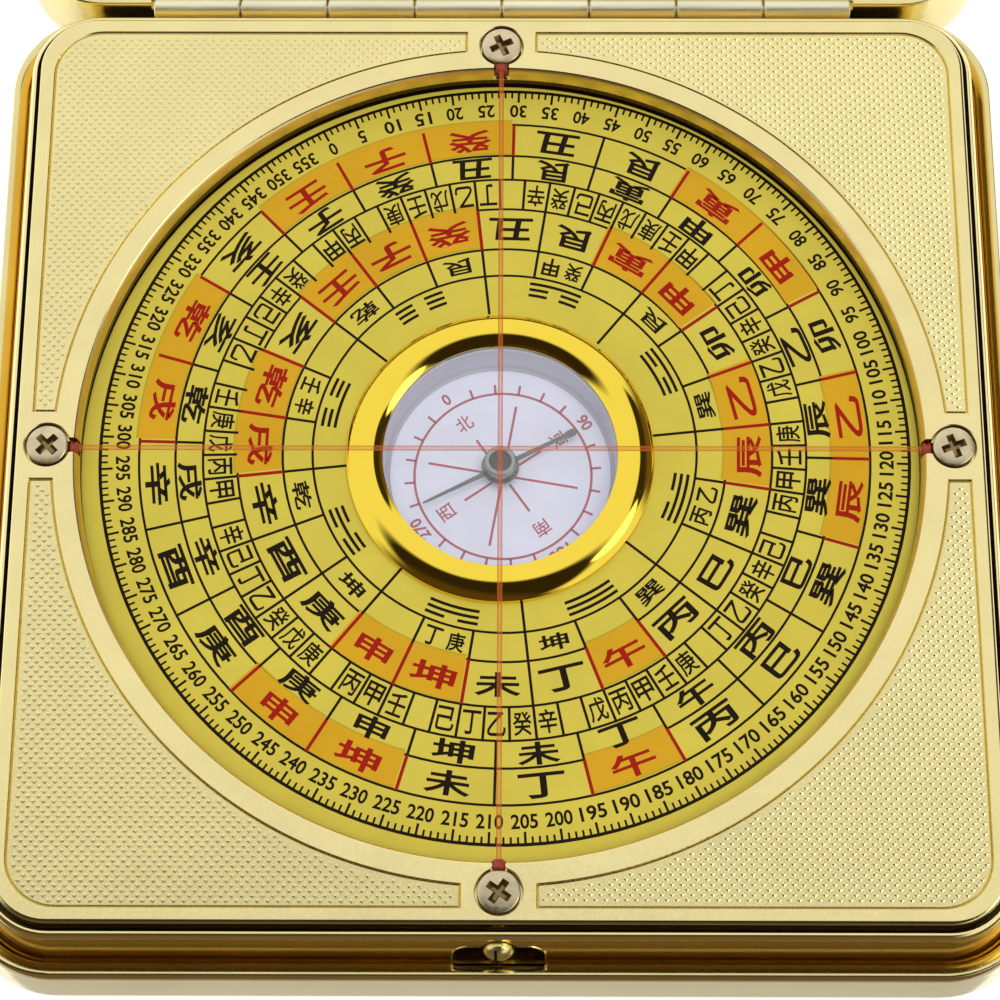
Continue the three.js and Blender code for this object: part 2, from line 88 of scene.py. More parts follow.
@dataclass
class Shape:
    """A mesh in the making: points in millimetres, faces, and the finish number of each face."""

    points: list[Point] = field(default_factory=list)
    faces: list[tuple[int, ...]] = field(default_factory=list)
    finishes: list[int] = field(default_factory=list)

    def add(self, points: Iterable[Sequence[float]], faces: Iterable[Sequence[int]]) -> None:
        """Adds points and the faces between them.

        Args:
            points: The new points.
            faces: Faces that count from the first new point.
        """
        start = len(self.points)
        self.points.extend(tuple(float(value) for value in point) for point in points)
        for face in faces:
            self.faces.append(tuple(start + int(corner) for corner in face))
            self.finishes.append(0)

    def join(self, *others: "Shape") -> None:
        """Adds whole shapes."""
        for other in others:
            self.add(other.points, other.faces)

    def mapped(self, rule: Callable[[float, float, float], Point]) -> "Shape":
        """Moves every point by a rule of its x, y and z, and gives the shape itself."""
        self.points = [rule(*point) for point in self.points]
        return self

    def laid(self) -> "Shape":
        """Lays the shape down, so that its Z runs along X, and gives the shape itself."""
        return self.mapped(lambda x, y, z: (z, x, y))

    def flipped(self) -> "Shape":
        """Turns every face over, as a mirrored shape needs, and gives the shape itself."""
        self.faces = [tuple(reversed(face)) for face in self.faces]
        return self

    def numbered(self, number: int) -> "Shape":
        """Gives every face one finish number, and gives the shape itself."""
        self.finishes = [number] * len(self.faces)
        return self

    def mesh(self, name: str) -> bpy.types.Mesh:
        """Makes the Blender mesh, in metres.

        Args:
            name: The mesh's name.

        Returns:
            The mesh.
        """
        mesh = bpy.data.meshes.new(name)
        mesh.from_pydata([tuple(value * MM for value in point) for point in self.points], [], self.faces)
        mesh.polygons.foreach_set("material_index", self.finishes)
        mesh.validate()
        mesh.update()
        return mesh

    def piece(self, name: str, smooth: float = 32.0) -> bpy.types.Object:
        """Makes the Blender object.

        Args:
            name: The piece's name.
            smooth: The angle above which an edge stays sharp.

        Returns:
            The piece.
        """
        piece = bpy.data.objects.new(name, self.mesh(name))
        bpy.context.scene.collection.objects.link(piece)
        shade(piece, smooth)
        return piece


def shade(piece: bpy.types.Object, smooth: float) -> None:
    """Shades a piece smooth.

    Args:
        piece: The piece.
        smooth: The angle above which an edge stays sharp.
    """
    piece.data.polygons.foreach_set("use_smooth", [True] * len(piece.data.polygons))
    piece.data.set_sharp_from_angle(angle=math.radians(smooth))
    piece.data.update()


def levelled(piece: bpy.types.Object) -> bpy.types.Object:
    """Keeps a piece's flat faces flat in the light, so that only its rounded edges bend it.

    Args:
        piece: The piece.

    Returns:
        The same piece.
    """
    even = piece.modifiers.new("even", "WEIGHTED_NORMAL")
    even.mode = "FACE_AREA"
    even.weight = FLAT_WEIGHT
    even.keep_sharp = True
    return piece


def banded(rings: Sequence[Sequence[Point]], closed: bool, numbers: Sequence[int] = ()) -> Shape:
    """Joins rings of points with bands of quads.

    Args:
        rings: Rings with as many points each, anticlockwise from above when they are stacked upwards.
        closed: True to join the last ring to the first, False to cap both ends.
        numbers: The finish number of each band from the first, 0 where it ends early.

    Returns:
        The shape.
    """
    count = len(rings[0])
    points = [point for ring in rings for point in ring]
    faces = []
    for level in range(len(rings) if closed else len(rings) - 1):
        low, high = level * count, (level + 1) % len(rings) * count
        for i in range(count):
            j = (i + 1) % count
            faces.append((low + i, low + j, high + j, high + i))
    if not closed:
        faces.append(tuple(reversed(range(count))))
        faces.append(tuple(range(len(points) - count, len(points))))
    shape = Shape()
    shape.add(points, faces)
    for band, number in enumerate(numbers):
        shape.finishes[band * count:(band + 1) * count] = [number] * count
    return shape


def lathe(outline: Outline, facets: int, closed: bool = True, numbers: Sequence[int] = ()) -> Shape:
    """Turns an outline of (radius, height) about Z.

    Args:
        outline: The outline, anticlockwise seen with the axis on the left.
        facets: How many facets go round.
        closed: True if the outline closes on itself, False to cap its two ends.
        numbers: The finish number of each band of the outline.

    Returns:
        The turned shape.
    """
    turns = [step * math.tau / facets for step in range(facets)]
    rings = [[(r * math.cos(t), r * math.sin(t), z) for t in turns] for r, z in outline]
    return banded(rings, closed, numbers)


def plug(radius: float, low: float, high: float, facets: int, numbers: Sequence[int] = ()) -> Shape:
    """Makes a round bar along Z, with flat ends."""
    return lathe([(radius, low), (radius, high)], facets, False, numbers)


def arc(centre: Spot, radius: float, start: float, end: float, steps: int) -> Outline:
    """Gives the points of an arc, from one angle to another."""
    turns = [math.radians(start + (end - start) * step / steps) for step in range(steps + 1)]
    return [(centre[0] + radius * math.cos(t), centre[1] + radius * math.sin(t)) for t in turns]


def squared(outline: Outline, half: float, corner: float, numbers: Sequence[int] = ()) -> Shape:
    """Runs an outline of (inset, height) round a square with round corners, and caps its two ends.

    Args:
        outline: Insets from the square's side and heights.
        half: Half the square's width at no inset.
        corner: The corner's radius at no inset.
        numbers: The finish number of each band of the outline.

    Returns:
        The shape.
    """
    steps, least = 14, 0.05
    rings = []
    for inset, height in outline:
        radius = max(corner - inset, least)
        reach = half - inset - radius
        ring = []
        for side, (sx, sy) in enumerate(((1, 1), (-1, 1), (-1, -1), (1, -1))):
            bend = arc((reach * sx, reach * sy), radius, side * 90, side * 90 + 90, steps)
            ring += [(x, y, height) for x, y in bend]
        rings.append(ring)
    return banded(rings, False, numbers)


def prism(levels: Sequence[tuple[Outline, float]]) -> Shape:
    """Stacks outlines with as many points each, as (outline, height), and caps both ends."""
    return banded([[(x, y, z) for x, y in outline] for outline, z in levels], False)


def block(x: Spot, y: Spot, z: Spot) -> Shape:
    """Makes a box from its two ends along each axis."""
    outline = [(x[0], y[0]), (x[1], y[0]), (x[1], y[1]), (x[0], y[1])]
    return prism([(outline, z[0]), (outline, z[1])])


def rod(path: Sequence[Point], radius: float, facets: int) -> Shape:
    """Runs a round section along an open path that nowhere runs along Y.

    Args:
        path: The points that the section's middle follows.
        radius: The section's radius.
        facets: How many facets go round.

    Returns:
        The shape, with both ends capped.
    """
    turns = [step * math.tau / facets for step in range(facets)]
    rings = []
    for number, point in enumerate(path):
        before, after = path[max(number - 1, 0)], path[min(number + 1, len(path) - 1)]
        ahead = (Vector(after) - Vector(before)).normalized()
        side = ahead.cross(Vector((0, 1, 0))).normalized()
        rise = ahead.cross(side)
        spokes = [radius * (math.cos(t) * side + math.sin(t) * rise) for t in turns]
        rings.append([tuple(Vector(point) + spoke) for spoke in spokes])
    return banded(rings, False)


def moved(shape: Shape, x: float = 0.0, y: float = 0.0, z: float = 0.0, turn: float = 0.0) -> Shape:
    """Turns a shape about Z, then moves it.

    Args:
        shape: The shape, which stays as it is.
        x: How far it moves along X.
        y: How far it moves along Y.
        z: How far it moves along Z.
        turn: The angle that it is turned by, anticlockwise from above.

    Returns:
        The shape in its new place.
    """
    cos, sin = math.cos(math.radians(turn)), math.sin(math.radians(turn))
    points = [(x + px * cos - py * sin, y + px * sin + py * cos, z + pz) for px, py, pz in shape.points]
    return Shape(points, list(shape.faces), list(shape.finishes))


def carved(piece: bpy.types.Object, tools: Iterable[Shape], smooth: float = 32.0) -> bpy.types.Object:
    """Cuts every tool out of a piece.

    Args:
        piece: The piece, already dressed; a tool's finish numbers count its finishes.
        tools: Closed shapes that are cut out of it.
        smooth: The angle above which an edge stays sharp.

    Returns:
        The same piece, cut.
    """
    cutters = []
    for tool in tools:
        cutter = tool.piece("cutter")
        for material in piece.data.materials:
            cutter.data.materials.append(material)
        cutters.append(cutter)
        cut = piece.modifiers.new("cut", "BOOLEAN")
        cut.operation = "DIFFERENCE"
        cut.solver = "EXACT"
        cut.object = cutter
    view = bpy.context.evaluated_depsgraph_get()
    mesh = bpy.data.meshes.new_from_object(piece.evaluated_get(view))
    piece.modifiers.clear()
    piece.data = mesh
    for cutter in cutters:
        bpy.data.objects.remove(cutter)
    shade(piece, smooth)
    return piece


# Finishes


class Grain(Enum):
    """How a metal's surface runs: in every direction, or drawn along X."""

    EVEN = (1.0, 1.0, 1.0)
    DRAWN_X = (0.03, 1.0, 1.0)


class Blend(Enum):
    """What a mix node blends."""

    NUMBER = "FLOAT"
    COLOR = "RGBA"


class Ramp(Enum):
    """How a range is crossed: evenly, or slowly at both ends."""

    EVEN = "LINEAR"
    SOFT = "SMOOTHSTEP"


class Pair(Enum):
    """What is taken from two numbers: the higher one, or one times the other."""

    HIGHER = "MAXIMUM"
    PRODUCT = "MULTIPLY"


class Nodes:
    """A node tree, with the few nodes that the finishes and the studio share."""

    NOISE_SPAN = (0.3, 0.7)  # where nearly all of a noise's values lie
    NOISE_DETAIL = 3.0

    def __init__(self, tree: bpy.types.NodeTree) -> None:
        """Takes a tree over."""
        self.tree = tree

    def feed(self, node: bpy.types.Node, inputs: dict[str | int, Any]) -> None:
        """Sets or links a node's inputs.

        Args:
            node: The node.
            inputs: By input name or number, a value to set or a socket to link.
        """
        for name, value in inputs.items():
            if isinstance(value, Socket):
                self.tree.links.new(value, node.inputs[name])
            else:
                node.inputs[name].default_value = value

    def node(self, kind: str, inputs: dict[str | int, Any] | None = None, **settings: Any) -> bpy.types.Node:
        """Adds a node.

        Args:
            kind: Its type, without the words that all types start with.
            inputs: Its inputs, as for feed.
            **settings: Its own named settings.

        Returns:
            The node.
        """
        node = self.tree.nodes.new(f"ShaderNode{kind}")
        for name, value in settings.items():
            setattr(node, name, value)
        self.feed(node, inputs or {})
        return node

    def noise(self, size: float, grain: Grain = Grain.EVEN) -> Socket:
        """Adds a noise.

        Args:
            size: About how large its features are, in millimetres.
            grain: The way that they run.

        Returns:
            Its value.
        """
        place = self.node("TexCoord").outputs["Object"]
        along = self.node("Mapping", {"Vector": place, "Scale": grain.value}).outputs["Vector"]
        scale = 1 / (size * MM)
        noise = self.node("TexNoise", {"Vector": along, "Scale": scale, "Detail": self.NOISE_DETAIL})
        return noise.outputs["Fac"]

    def ramp(self, value: Socket, span: Spot, reach: Spot = (0.0, 1.0), way: Ramp = Ramp.EVEN) -> Socket:
        """Spreads a value over a range.

        Args:
            value: The value.
            span: The two values that stand for the range's ends.
            reach: The range's ends.
            way: How the range is crossed.

        Returns:
            The spread value.
        """
        ends = dict(zip(("From Min", "From Max", "To Min", "To Max"), (*span, *reach)))
        ramp = self.node("MapRange", {"Value": value, **ends}, interpolation_type=way.value)
        return ramp.outputs["Result"]

    def mix(self, kind: Blend, factor: Socket, a: Any, b: Any) -> Socket:
        """Blends two values or sockets, from the first at factor 0 to the second at 1."""
        return self.node("Mix", {"Factor": factor, "A": a, "B": b}, data_type=kind.value).outputs["Result"]

    def pair(self, kind: Pair, a: Any, b: Any) -> Socket:
        """Takes one number from two values or sockets."""
        return self.node("Math", {0: a, 1: b}, operation=kind.value).outputs["Value"]


class Dress(Nodes):
    """A material's node tree, with its one Principled shader."""

    def __init__(self, name: str) -> None:
        """Starts a material with only its shader.

        Args:
            name: The material's name.
        """
        self.material = bpy.data.materials.new(name)
        self.material.use_nodes = True
        super().__init__(self.material.node_tree)
        self.shader = self.tree.nodes["Principled BSDF"]

    def tint(self, value: Socket, dark: Color, light: Color) -> None:
        """Colours the surface between two colours, by a noise value."""
        color = self.mix(Blend.COLOR, self.ramp(value, self.NOISE_SPAN), (*dark, 1), (*light, 1))
        self.feed(self.shader, {"Base Color": color})

    def bump(self, value: Socket, depth: float) -> None:
        """Raises the surface by a noise value, to a depth in millimetres."""
        bump = self.node("Bump", {"Height": value, "Strength": 1.0, "Distance": depth * MM})
        self.feed(self.shader, {"Normal": bump.outputs["Normal"]})


def scaled(color: Color, factor: float) -> Color:
    """Gives a colour made lighter or darker by a factor."""
    return tuple(min(1.0, channel * factor) for channel in color)


@dataclass(frozen=True)
class Opaque:
    """A finish that hides what is under it: its colour, how rough it is, how uneven, and its grain."""

    name: str
    color: Color
    roughness: float
    roughness_spread: float = 0.25
    tone: float = 0.06
    tone_size: float = 9.0
    grain: Grain = Grain.EVEN
    grain_size: float = 0.25
    grain_depth: float = 0.0

    def started(self) -> Dress:
        """Starts the material.

        Returns:
            Its node tree, with colour, roughness and grain.
        """
        dress = Dress(self.name)
        dress.tint(dress.noise(self.tone_size), scaled(self.color, 1 - self.tone),
                   scaled(self.color, 1 + self.tone))
        fine = dress.noise(self.grain_size, self.grain)
        reach = (self.roughness * (1 - self.roughness_spread), self.roughness * (1 + self.roughness_spread))
        dress.feed(dress.shader, {"Roughness": dress.ramp(fine, dress.NOISE_SPAN, reach)})
        if self.grain_depth:
            dress.bump(fine, self.grain_depth)
        return dress


@dataclass(frozen=True)
class Metal(Opaque):
    """A plated or bare metal."""

    def make(self) -> bpy.types.Material:
        """Makes the material.

        Returns:
            The material.
        """
        dress = self.started()
        dress.feed(dress.shader, {"Metallic": 1.0})
        return dress.material


@dataclass(frozen=True)
class Coat(Opaque):
    """A print, paint or moulded plastic, and how strong its gloss is."""

    roughness_spread: float = 0.15
    tone: float = 0.05
    tone_size: float = 5.0
    grain_size: float = 0.12
    gloss: float = 0.5

    def make(self) -> bpy.types.Material:
        """Makes the material.

        Returns:
            The material.
        """
        dress = self.started()
        dress.feed(dress.shader, {"Specular IOR Level": self.gloss})
        return dress.material


@dataclass(frozen=True)
class Clear:
    """A see-through material that is denser at its sides, such as window glass or a thin thread."""

    name: str
    color: Color
    roughness: float
    alpha: float
    side_alpha: float
    tone: float = 0.04
    tone_size: float = 2.0

    def make(self) -> bpy.types.Material:
        """Makes the material.

        Returns:
            The material.
        """
        dress = Dress(self.name)
        dress.tint(dress.noise(self.tone_size), scaled(self.color, 1 - self.tone), self.color)
        facing = dress.node("LayerWeight").outputs["Facing"]
        cover = dress.ramp(facing, (0.0, 1.0), (self.alpha, self.side_alpha))
        dress.feed(dress.shader, {"Roughness": self.roughness, "Alpha": cover})
        return dress.material


POLISHED_GOLD = Metal("polished_gold", (0.95, 0.70, 0.15), 0.10, tone=0.02)
WALL_GOLD = Metal("wall_gold", (0.92, 0.61, 0.13), 0.2, roughness_spread=0.05, tone=0.03)
LIP_GOLD = Metal("lip_gold", (0.93, 0.80, 0.38), 0.14, tone=0.02)
# painted shade: the dark of the groove round the plate and of the dish wall under it
GROOVE_PAINTED_SHADE = Metal("groove_painted_shade", (0.15, 0.10, 0.03), 0.5)
BEZEL_GOLD = Metal("bezel_gold", (0.93, 0.69, 0.07), 0.05, tone=0.02)
PLATE_GOLD = Metal("plate_gold", (0.86, 0.75, 0.36), 0.16, tone=0.035, tone_size=4.0)
# painted shade: the opening's upright wall, nearly black, for the shadow between plate and dial
OPENING_PAINTED_SHADE = Metal("opening_painted_shade", (0.12, 0.06, 0.02), 0.4, roughness_spread=0.05)
OPENING_GOLD = Metal("opening_gold", (0.96, 0.74, 0.33), 0.36, roughness_spread=0.05)
# painted shade: the upright wall of each screw's well
SEAT_PAINTED_SHADE = Metal("seat_painted_shade", (0.36, 0.21, 0.07), 0.42)
FIELD_GOLD = Metal("field_gold", (0.88, 0.77, 0.37), 0.27, tone=0.04)
SATIN_GOLD = Metal("satin_gold", (0.80, 0.69, 0.33), 0.17, grain_size=0.18, grain_depth=0.0005)
HINGE_GOLD = Metal("hinge_gold", (0.95, 0.92, 0.68), 0.5, grain=Grain.DRAWN_X, grain_depth=0.002)
LINING_GOLD = Metal("lining_gold", (0.80, 0.70, 0.38), 0.3, grain=Grain.DRAWN_X, grain_depth=0.004)
NICKEL = Metal("screw_nickel", (0.72, 0.62, 0.40), 0.36, tone=0.14, tone_size=1.2)
# painted shade: the inside of the screws' cross recesses
RECESS_PAINTED_SHADE = Metal("recess_painted_shade", (0.35, 0.25, 0.11), 0.4)
SPRING_STEEL = Metal("spring_steel", (0.5, 0.5, 0.49), 0.3, grain=Grain.DRAWN_X)
NEEDLE_STEEL = Metal("needle_steel", (0.14, 0.15, 0.145), 0.34)
CAP_METAL = Metal("cap_metal", (0.32, 0.34, 0.31), 0.3, roughness_spread=0.1)
# painted shade: near black in the needle cap's dish and in the latch stud's groove
CAP_PAINTED_SHADE = Coat("cap_painted_shade", (0.02, 0.022, 0.02), 0.5, gloss=0.2)
STUD_GOLD = Metal("stud_gold", (1.0, 0.88, 0.38), 0.3)
DIAL_YELLOW = Coat("dial_yellow", (0.67, 0.55, 0.07), 0.42, gloss=0.2, grain_depth=0.0006)
CELL_ORANGE = Coat("cell_orange", (0.68, 0.37, 0.012), 0.42, gloss=0.2)
CELL_SHADE = Coat("cell_shade", (0.52, 0.36, 0.02), 0.42, gloss=0.2)
PRINT_BLACK = Coat("print_black", (0.012, 0.006, 0.002), 0.5, gloss=0.12)
PRINT_RED = Coat("print_red", (0.36, 0.012, 0.004), 0.5, gloss=0.12)
CARD_WHITE = Coat("card_white", (0.75, 0.76, 0.88), 0.5, gloss=0.3)
CARD_RED = Coat("card_red", (0.42, 0.06, 0.10), 0.5, gloss=0.2)
CUP_WHITE = Coat("cup_white", (0.53, 0.52, 0.59), 0.35)
KNOT_RED = Coat("knot_red", (0.30, 0.035, 0.014), 0.35, tone=0.4, tone_size=0.35)
WINDOW_GLASS = Clear("window_glass", (0.95, 0.97, 0.98), 0.02, alpha=0.05, side_alpha=0.3)
THREAD_ORANGE = Clear("thread_orange", (0.62, 0.12, 0.015), 0.25, alpha=0.2, side_alpha=0.85)

Finish = Metal | Coat | Clear
made: dict[str, bpy.types.Material] = {}


def finished(piece: bpy.types.Object, *finishes: Finish) -> bpy.types.Object:
    """Gives a piece its finishes, each made once.

    Args:
        piece: The piece.
        *finishes: The finishes, in the order of its faces' finish numbers.

    Returns:
        The same piece.
    """
    numbers = [face.material_index for face in piece.data.polygons]
    piece.data.materials.clear()
    for finish in finishes:
        if finish.name not in made:
            made[finish.name] = finish.make()
        piece.data.materials.append(made[finish.name])
    piece.data.polygons.foreach_set("material_index", numbers)
    return piece


def report(piece: bpy.types.Object, body: str, slot: str, *nodes: str) -> None:
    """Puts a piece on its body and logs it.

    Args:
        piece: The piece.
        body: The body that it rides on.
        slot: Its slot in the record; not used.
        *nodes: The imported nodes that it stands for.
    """
    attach(piece, body)
    if nodes:
        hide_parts(*nodes)
    log.info("%s rides on %s", piece.name, body)


# The case


@dataclass
class CaseShell:
    """One of the two equal shells, rim up, about its own centre."""

    half: float = 40.3
    corner: float = 7.2
    wall: float = 1.3
    floor: float = 0.9
    floor_fillet: float = 0.5
    foot_round: float = 0.8
    foot_spread: float = 0.18
    waist_share: float = 0.7
    crest: float = 0.33
    crest_fall: float = 1.8
    rim_round: float = 1.1
    rim: float = from_pack("base_shell", 2)
    hinge_setback: float = 0.4
    hinge_z: float = 6.4
    relief: float = 1.1
    relief_length: float = 58.4

    @property
    def hinge_y(self) -> float:
        """Where the hinge's axis lies, behind the shell's centre."""
        return self.half + self.hinge_setback

    def shape(self) -> Shape:
        """Makes the shell's closed form: a wall that spreads to its foot, with a rounded rim.

        Returns:
            The shape.
        """
        foot = arc((self.foot_round - self.foot_spread, self.foot_round), self.foot_round, 270, 180, 8)
        waist = [(-self.foot_spread * self.waist_share, self.rim / 2)]
        outer = [(self.crest * (1 - x), self.rim - self.crest_fall * (1 - y))
                 for x, y in arc((0, 0), 1, 0, 90, 9)]
        end = math.degrees(math.acos((self.wall - self.crest) / self.rim_round))
        inner = arc((self.crest, self.rim - self.rim_round), self.rim_round, 90, end, 8)[1:]
        bend = self.floor_fillet
        fillet = arc((self.wall + bend, self.floor + bend), bend, 180, 270, 6)
        return squared(foot + waist + outer + inner + fillet, self.half, self.corner)

    def hinge_relief(self) -> Shape:
        """Makes the relief that is cut round the hinge barrels, on the shell's back edge."""
        half = self.relief_length / 2
        return moved(plug(self.relief, -half, half, 32).laid(), y=self.hinge_y, z=self.hinge_z)


@dataclass
class Case:
    """The two shells, the lining and the hinge between them."""

    shell: CaseShell = field(default_factory=CaseShell)
    barrel: float = 0.8
    barrel_nose: float = 0.1
    bore: float = 0.45
    hinge_length: float = 57.8
    knuckles: int = 8
    knuckle_gap: float = 0.15
    leaf_outer: float = 0.7
    leaf_inner: float = 0.3
    leaf_top: float = -1.1
    leaf_low: float = -3.8
    leaf_lap: float = 0.01
    tongue_share: float = 0.55
    lining_ease: float = 0.14
    catch_gap: float = 0.12

    def build(self) -> None:
        """Makes both shells, the lining and the hinge."""
        shell = self.shell
        centre = 2 * shell.hinge_y
        base = finished(shell.shape().piece("base_shell_fine"), SATIN_GOLD)
        report(levelled(carved(base, [shell.hinge_relief()])), "base", "satin_gold", "base_shell")
        relief = moved(moved(shell.hinge_relief(), turn=180), y=centre)
        lid = finished(moved(shell.shape(), y=centre).piece("lid_shell_fine"), SATIN_GOLD)
        report(levelled(carved(lid, [relief, self.catch(centre)])), "lid", "satin_gold", "lid_shell")
        self.lining(centre)
        self.leaf("base_hinge_leaf", "base", 180)
        self.leaf("lid_hinge_leaf", "lid", 0)

    def catch(self, centre: float) -> Shape:
        """Makes the hollow in the lid's far wall that the latch stud snaps into.

        Args:
            centre: Where the lid's centre lies along Y.

        Returns:
            The hollow's shape.
        """
        latch = Latch()
        wide, deep, tall = (size + self.catch_gap for size in (latch.width, latch.nose, latch.rise))
        ball = lathe(arc((0, 0), 1, -80, 80, 16), 32, False)
        far = centre - edge("latch_stud", 1, False) - latch.nose
        return moved(ball.mapped(lambda x, y, z: (x * wide, y * deep, z * tall)), y=far,
                     z=2 * self.shell.hinge_z - latch.middle)

    def lining(self, centre: float) -> None:
        """Makes the lining plate on the lid's floor, with an eased edge.

        Args:
            centre: Where the lid's centre lies along Y.
        """
        low, top = heights("lid_lining")
        ease, corner = self.lining_ease, self.shell.corner - self.shell.wall
        outline = [(0.0, low), (0.0, top - ease), *arc((ease, top - ease), ease, 180, 90, 4)]
        plate = moved(squared(outline, edge("lid_lining", 0), corner), y=centre).piece("lid_lining_fine")
        report(finished(plate, LINING_GOLD), "lid", "lining_gold", "lid_lining")

    def leaf(self, node: str, body: str, turn: float) -> None:
        """Makes a hinge leaf: a strip with every other knuckle rolled round the pin.

        Args:
            node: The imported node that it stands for.
            body: The body that it rides on.
            turn: The angle that it is turned by, so that its strip lies on its own shell.
        """
        half = self.hinge_length / 2
        pitch = self.hinge_length / self.knuckles
        length = pitch - self.knuckle_gap
        thick, lap = (self.leaf_inner, self.leaf_outer), self.leaf_top - self.leaf_lap
        leaf = Shape()
        for knuckle in range(0, self.knuckles, 2):
            start = -half + knuckle * pitch + self.knuckle_gap / 2
            tongue = block((start, start + length), thick, (lap, -self.leaf_outer * self.tongue_share))
            leaf.join(self.knuckle(start, start + length), tongue)
        leaf.join(block((-half, half), thick, (self.leaf_low, self.leaf_top)))
        piece = moved(leaf, y=self.shell.hinge_y, z=self.shell.hinge_z, turn=turn).piece(f"{node}_fine")
        report(finished(piece, HINGE_GOLD), body, "hinge_gold", node)

    def knuckle(self, start: float, end: float) -> Shape:
        """Makes one knuckle, a short tube with eased ends.

        Args:
            start: Where it starts along X.
            end: Where it ends along X.

        Returns:
            The knuckle's shape, about the hinge's axis.
        """
        nose, barrel = self.barrel_nose, self.barrel
        outline = [(self.bore, end), (self.bore, start), (barrel - nose, start), (barrel, start + nose),
                   (barrel, end - nose), (barrel - nose, end)]
        return lathe(outline, 36).laid()


# The platform


@dataclass
class Field:
    """An embossed corner field of the face plate, and its rows of pyramids."""

    half: float = 36.07
    corner: float = 3.85
    inner_radius: float = 34.3
    pad: float = 2.72
    depth: float = 0.26
    slope: float = 0.17
    mouth: Spot = (0.02, 0.03)
    moat: float = 0.22
    bed: float = 0.12
    bed_foot: Spot = (0.04, 0.02)
    pitch_x: float = 0.76
    pitch_y: float = 0.74
    stud_share: float = 0.66
    stud_height: float = 0.04
    stud_top: float = 0.3
    stud_margin: float = 0.03
    stud_sink: float = 0.01

    def outline(self, inset: float) -> Outline:
        """Gives the outline of the field in the +X +Y corner.

        Args:
            inset: How far the outline is drawn in.

        Returns:
            The outline, anticlockwise.
        """
        half, pad, radius = self.half - inset, self.pad + inset, self.inner_radius + inset
        corner = self.corner - inset
        swing = math.degrees(math.asin(pad / radius))
        outer = arc((half - corner, half - corner), corner, 0, 90, 12)
        return [(half, pad), *outer, (pad, half), *arc((0, 0), radius, 90 - swing, swing, 72)]

    def holds(self, x: float, y: float) -> bool:
        """Tells if the +X +Y field's bed has room for a point.

        Args:
            x: The point's place along X.
            y: The point's place along Y.

        Returns:
            True if the point lies inside the moat, with a margin.
        """
        inset = self.moat + self.stud_margin
        half, pad, radius = self.half - inset, self.pad + inset, self.inner_radius + inset
        corner = self.corner - inset
        if min(x, y) < pad or max(x, y) > half or math.hypot(x, y) < radius:
            return False
        over = (x - half + corner, y - half + corner)
        return min(over) < 0 or math.hypot(*over) < corner

    def recess(self, top: float) -> Shape:
        """Makes the recess that is cut for the field, with sloped walls."""
        mouth = (self.outline(-self.mouth[0]), top + self.mouth[1])
        return prism([(self.outline(self.slope), top - self.depth), (self.outline(0), top), mouth])

    def bedding(self, top: float) -> Shape:
        """Makes the raised bed in the recess, with a moat round it."""
        foot = (self.outline(self.moat - self.bed_foot[0]), top - self.depth - self.bed_foot[1])
        return prism([foot, (self.outline(self.moat), top - self.bed)])

    def pyramids(self, top: float) -> Shape:
        """Makes the rows of small blunt pyramids on the bed, each a closed body.

        Args:
            top: The height of the face plate's top.

        Returns:
            The shape.
        """
        shape = Shape()
        low = top - self.bed
        across, along = self.pitch_x / 2, self.pitch_y / 2
        wide, deep = across * self.stud_share, along * self.stud_share
        rim = [(wide, 0), (0, deep), (-wide, 0), (0, -deep)]
        sides = [(0, 1, 5, 4), (1, 2, 6, 5), (2, 3, 7, 6), (3, 0, 4, 7), (4, 5, 6, 7), (3, 2, 1, 0)]
        for row in range(int(self.half / along) + 1):
            shift = across if row % 2 else 0.0
            for column in range(int(self.half / self.pitch_x) + 1):
                x, y = column * self.pitch_x + shift, row * along
                if not all(self.holds(x + dx, y + dy) for dx, dy in rim):
                    continue
                foot = [(x + dx, y + dy, low - self.stud_sink) for dx, dy in rim]
                head = [(x + dx * self.stud_top, y + dy * self.stud_top, low + self.stud_height)
                        for dx, dy in rim]
                shape.add(foot + head, sides)
        return shape


